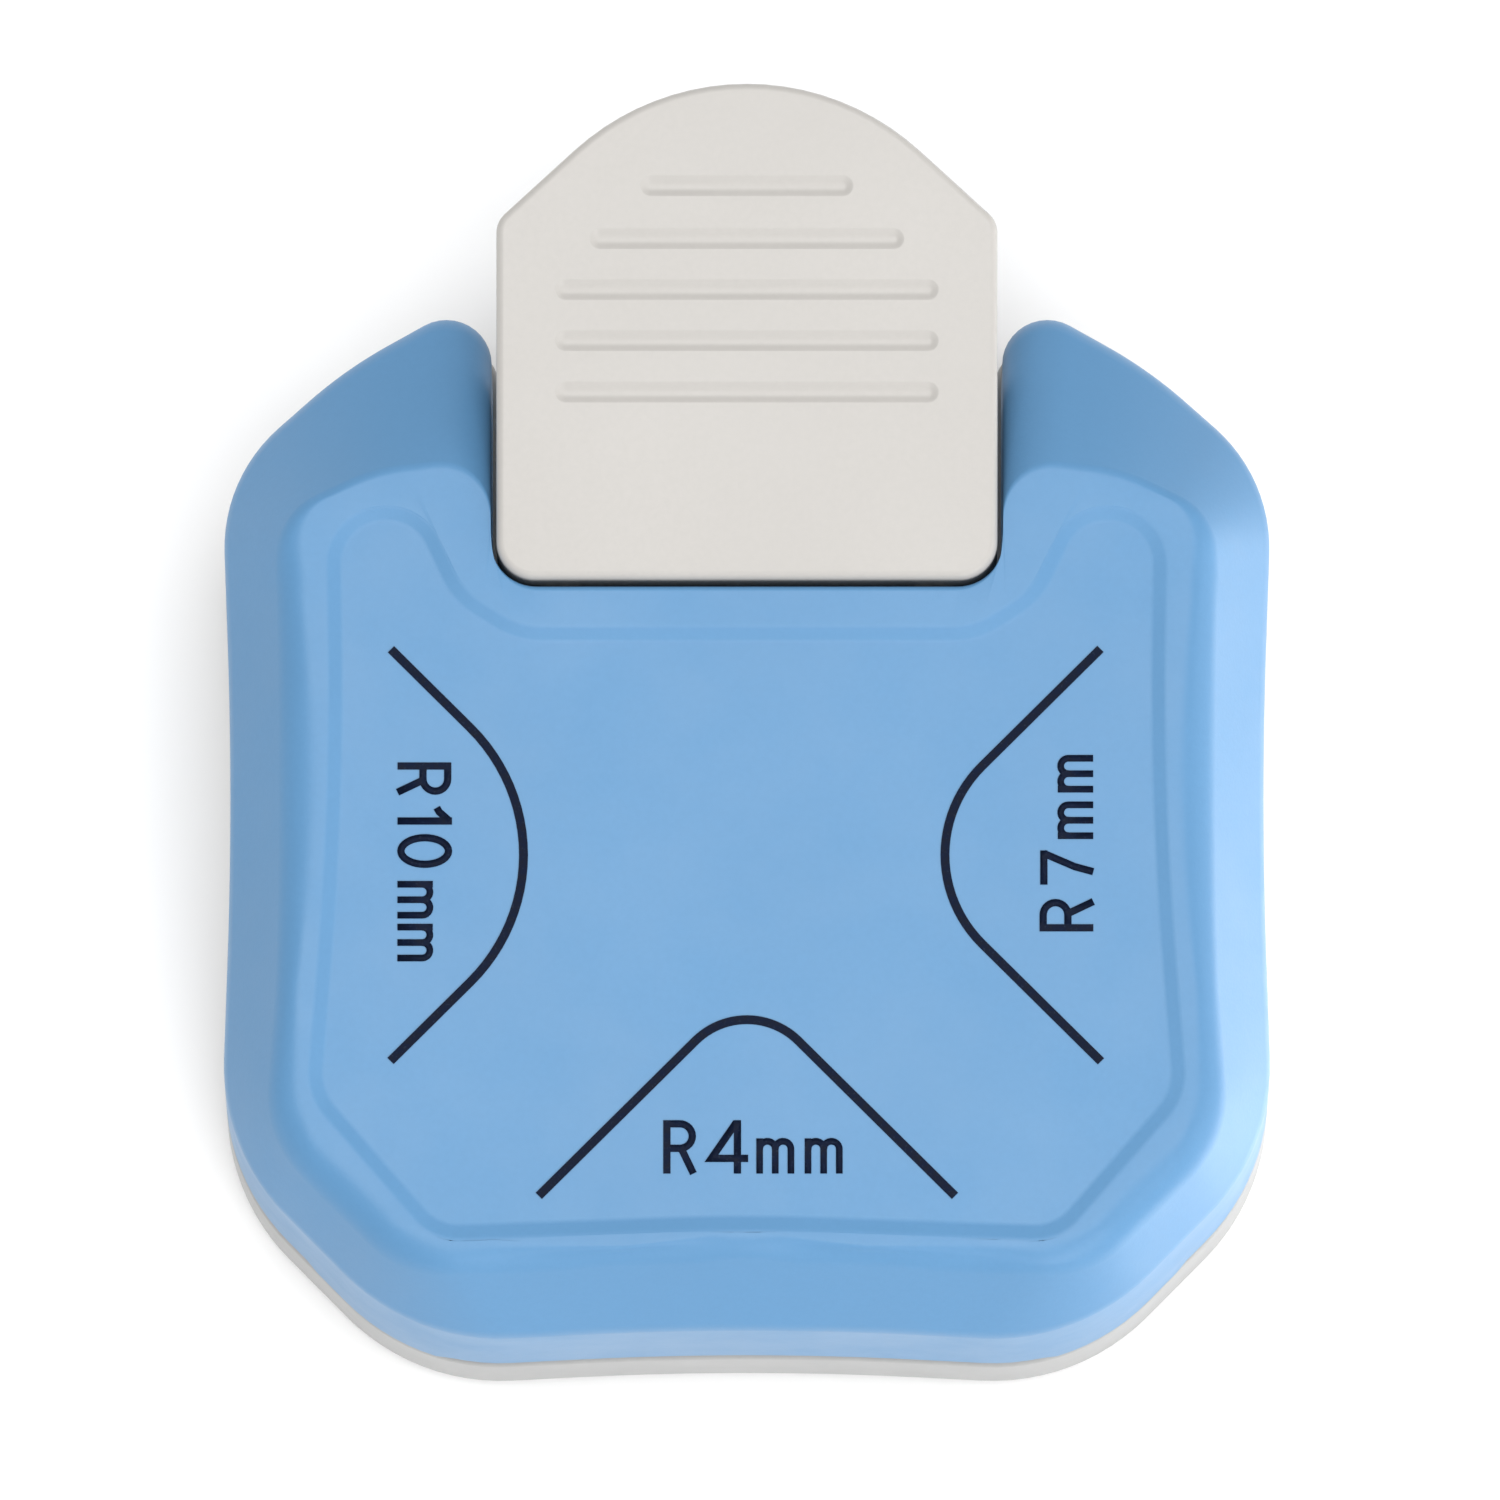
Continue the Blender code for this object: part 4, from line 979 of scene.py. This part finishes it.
def build_floor():
    """Plain pale floor."""
    shape = bmesh.new()
    corners = rectangle(-FLOOR_HALF, FLOOR_HALF, -FLOOR_HALF, FLOOR_HALF)
    shape.faces.new([shape.verts.new((x, y, 0.0)) for x, y in corners])
    mesh = bpy.data.meshes.new("floor")
    shape.to_mesh(mesh)
    shape.free()
    floor = bpy.data.objects.new("floor", mesh)
    bpy.context.scene.collection.objects.link(floor)
    graph = Graph("pale_floor")
    graph.link(graph.mix(graph.noise(FLOOR_CLOUD), (0.93, 0.93, 0.93, 1.0), (0.95, 0.95, 0.95, 1.0)),
               graph.shader.inputs["Base Color"])
    graph.shader.inputs["Roughness"].default_value = 0.9
    floor.data.materials.append(graph.material)


def add_light(name, position, target, size, power):
    """Square soft light that faces a target."""
    light = bpy.data.lights.new(name, "AREA")
    light.shape = "SQUARE"
    light.size = size
    light.energy = power
    lamp = bpy.data.objects.new(name, light)
    lamp.location = position
    lamp.rotation_euler = (Vector(target) - Vector(position)).to_track_quat("-Z", "Y").to_euler()
    bpy.context.scene.collection.objects.link(lamp)


def add_glow(position, cone, power):
    """Narrow lamp that shines straight down on the floor, for the case's right side to mirror."""
    light = bpy.data.lights.new("floor_glow", "SPOT")
    light.spot_size = cone
    light.spot_blend = 0.5
    light.shadow_soft_size = 0.01
    light.energy = power
    lamp = bpy.data.objects.new("floor_glow", light)
    lamp.location = position
    bpy.context.scene.collection.objects.link(lamp)


def build_lights():
    """Soft light from above, right and front right, a glow on the floor, and even fill all round."""
    world = bpy.data.worlds.new("studio")
    world.use_nodes = True
    background = world.node_tree.nodes["Background"]
    background.inputs["Color"].default_value = (1.0, 1.0, 1.0, 1.0)
    background.inputs["Strength"].default_value = 0.8
    bpy.context.scene.world = world
    target = (0.0, 0.0, 0.01)
    add_light("overhead", (0.0, 0.0, 0.7), target, size=0.45, power=2.7)
    add_light("key_right", (0.56, -0.05, 0.3), target, size=0.5, power=1.1)
    add_glow((0.104, -0.026, 0.5), cone=math.radians(16.5), power=35.0)
    add_light("key_front_right", (0.24, -0.56, 0.42), target, size=0.45, power=2.1)
    view = bpy.context.scene.view_settings
    view.view_transform = "Standard"
    view.look = "None"
    view.exposure = 0.0
    view.gamma = 1.0


def build_camera():
    """Camera nearly overhead, looking from the front, with a long lens."""
    centre = Vector(AIM) * MM + OFFSET
    camera_data = bpy.data.cameras.new("camera")
    camera_data.sensor_width = 36.0
    camera_data.lens = camera_data.sensor_width * CAMERA_DISTANCE / FRAME_WIDTH
    camera_data.clip_start = 0.01
    camera_data.clip_end = 20.0
    camera = bpy.data.objects.new("camera", camera_data)
    towards = Vector((0.0, -math.cos(CAMERA_ELEVATION), math.sin(CAMERA_ELEVATION)))
    camera.location = centre + towards * CAMERA_DISTANCE
    camera.rotation_euler = (-towards).to_track_quat("-Z", "Y").to_euler()
    bpy.context.scene.collection.objects.link(camera)
    bpy.context.scene.camera = camera


build_cover(make_plastic("blue_satin_abs", (80, 129, 170), roughness=0.42))
build_marks(make_ink("navy_ink", (3, 13, 34), (30, 40, 58)))
build_lever(make_plastic("warm_white_abs", (171, 168, 164), roughness=0.42, depth=0.000003))
white = make_plastic("white_abs", (157, 157, 156), roughness=0.4)
build_base(white)
build_lid(white)
build_feet(make_rubber("foot_rubber", (70, 72, 74)))
build_springs(dress_metal())
build_floor()
build_lights()
build_camera()
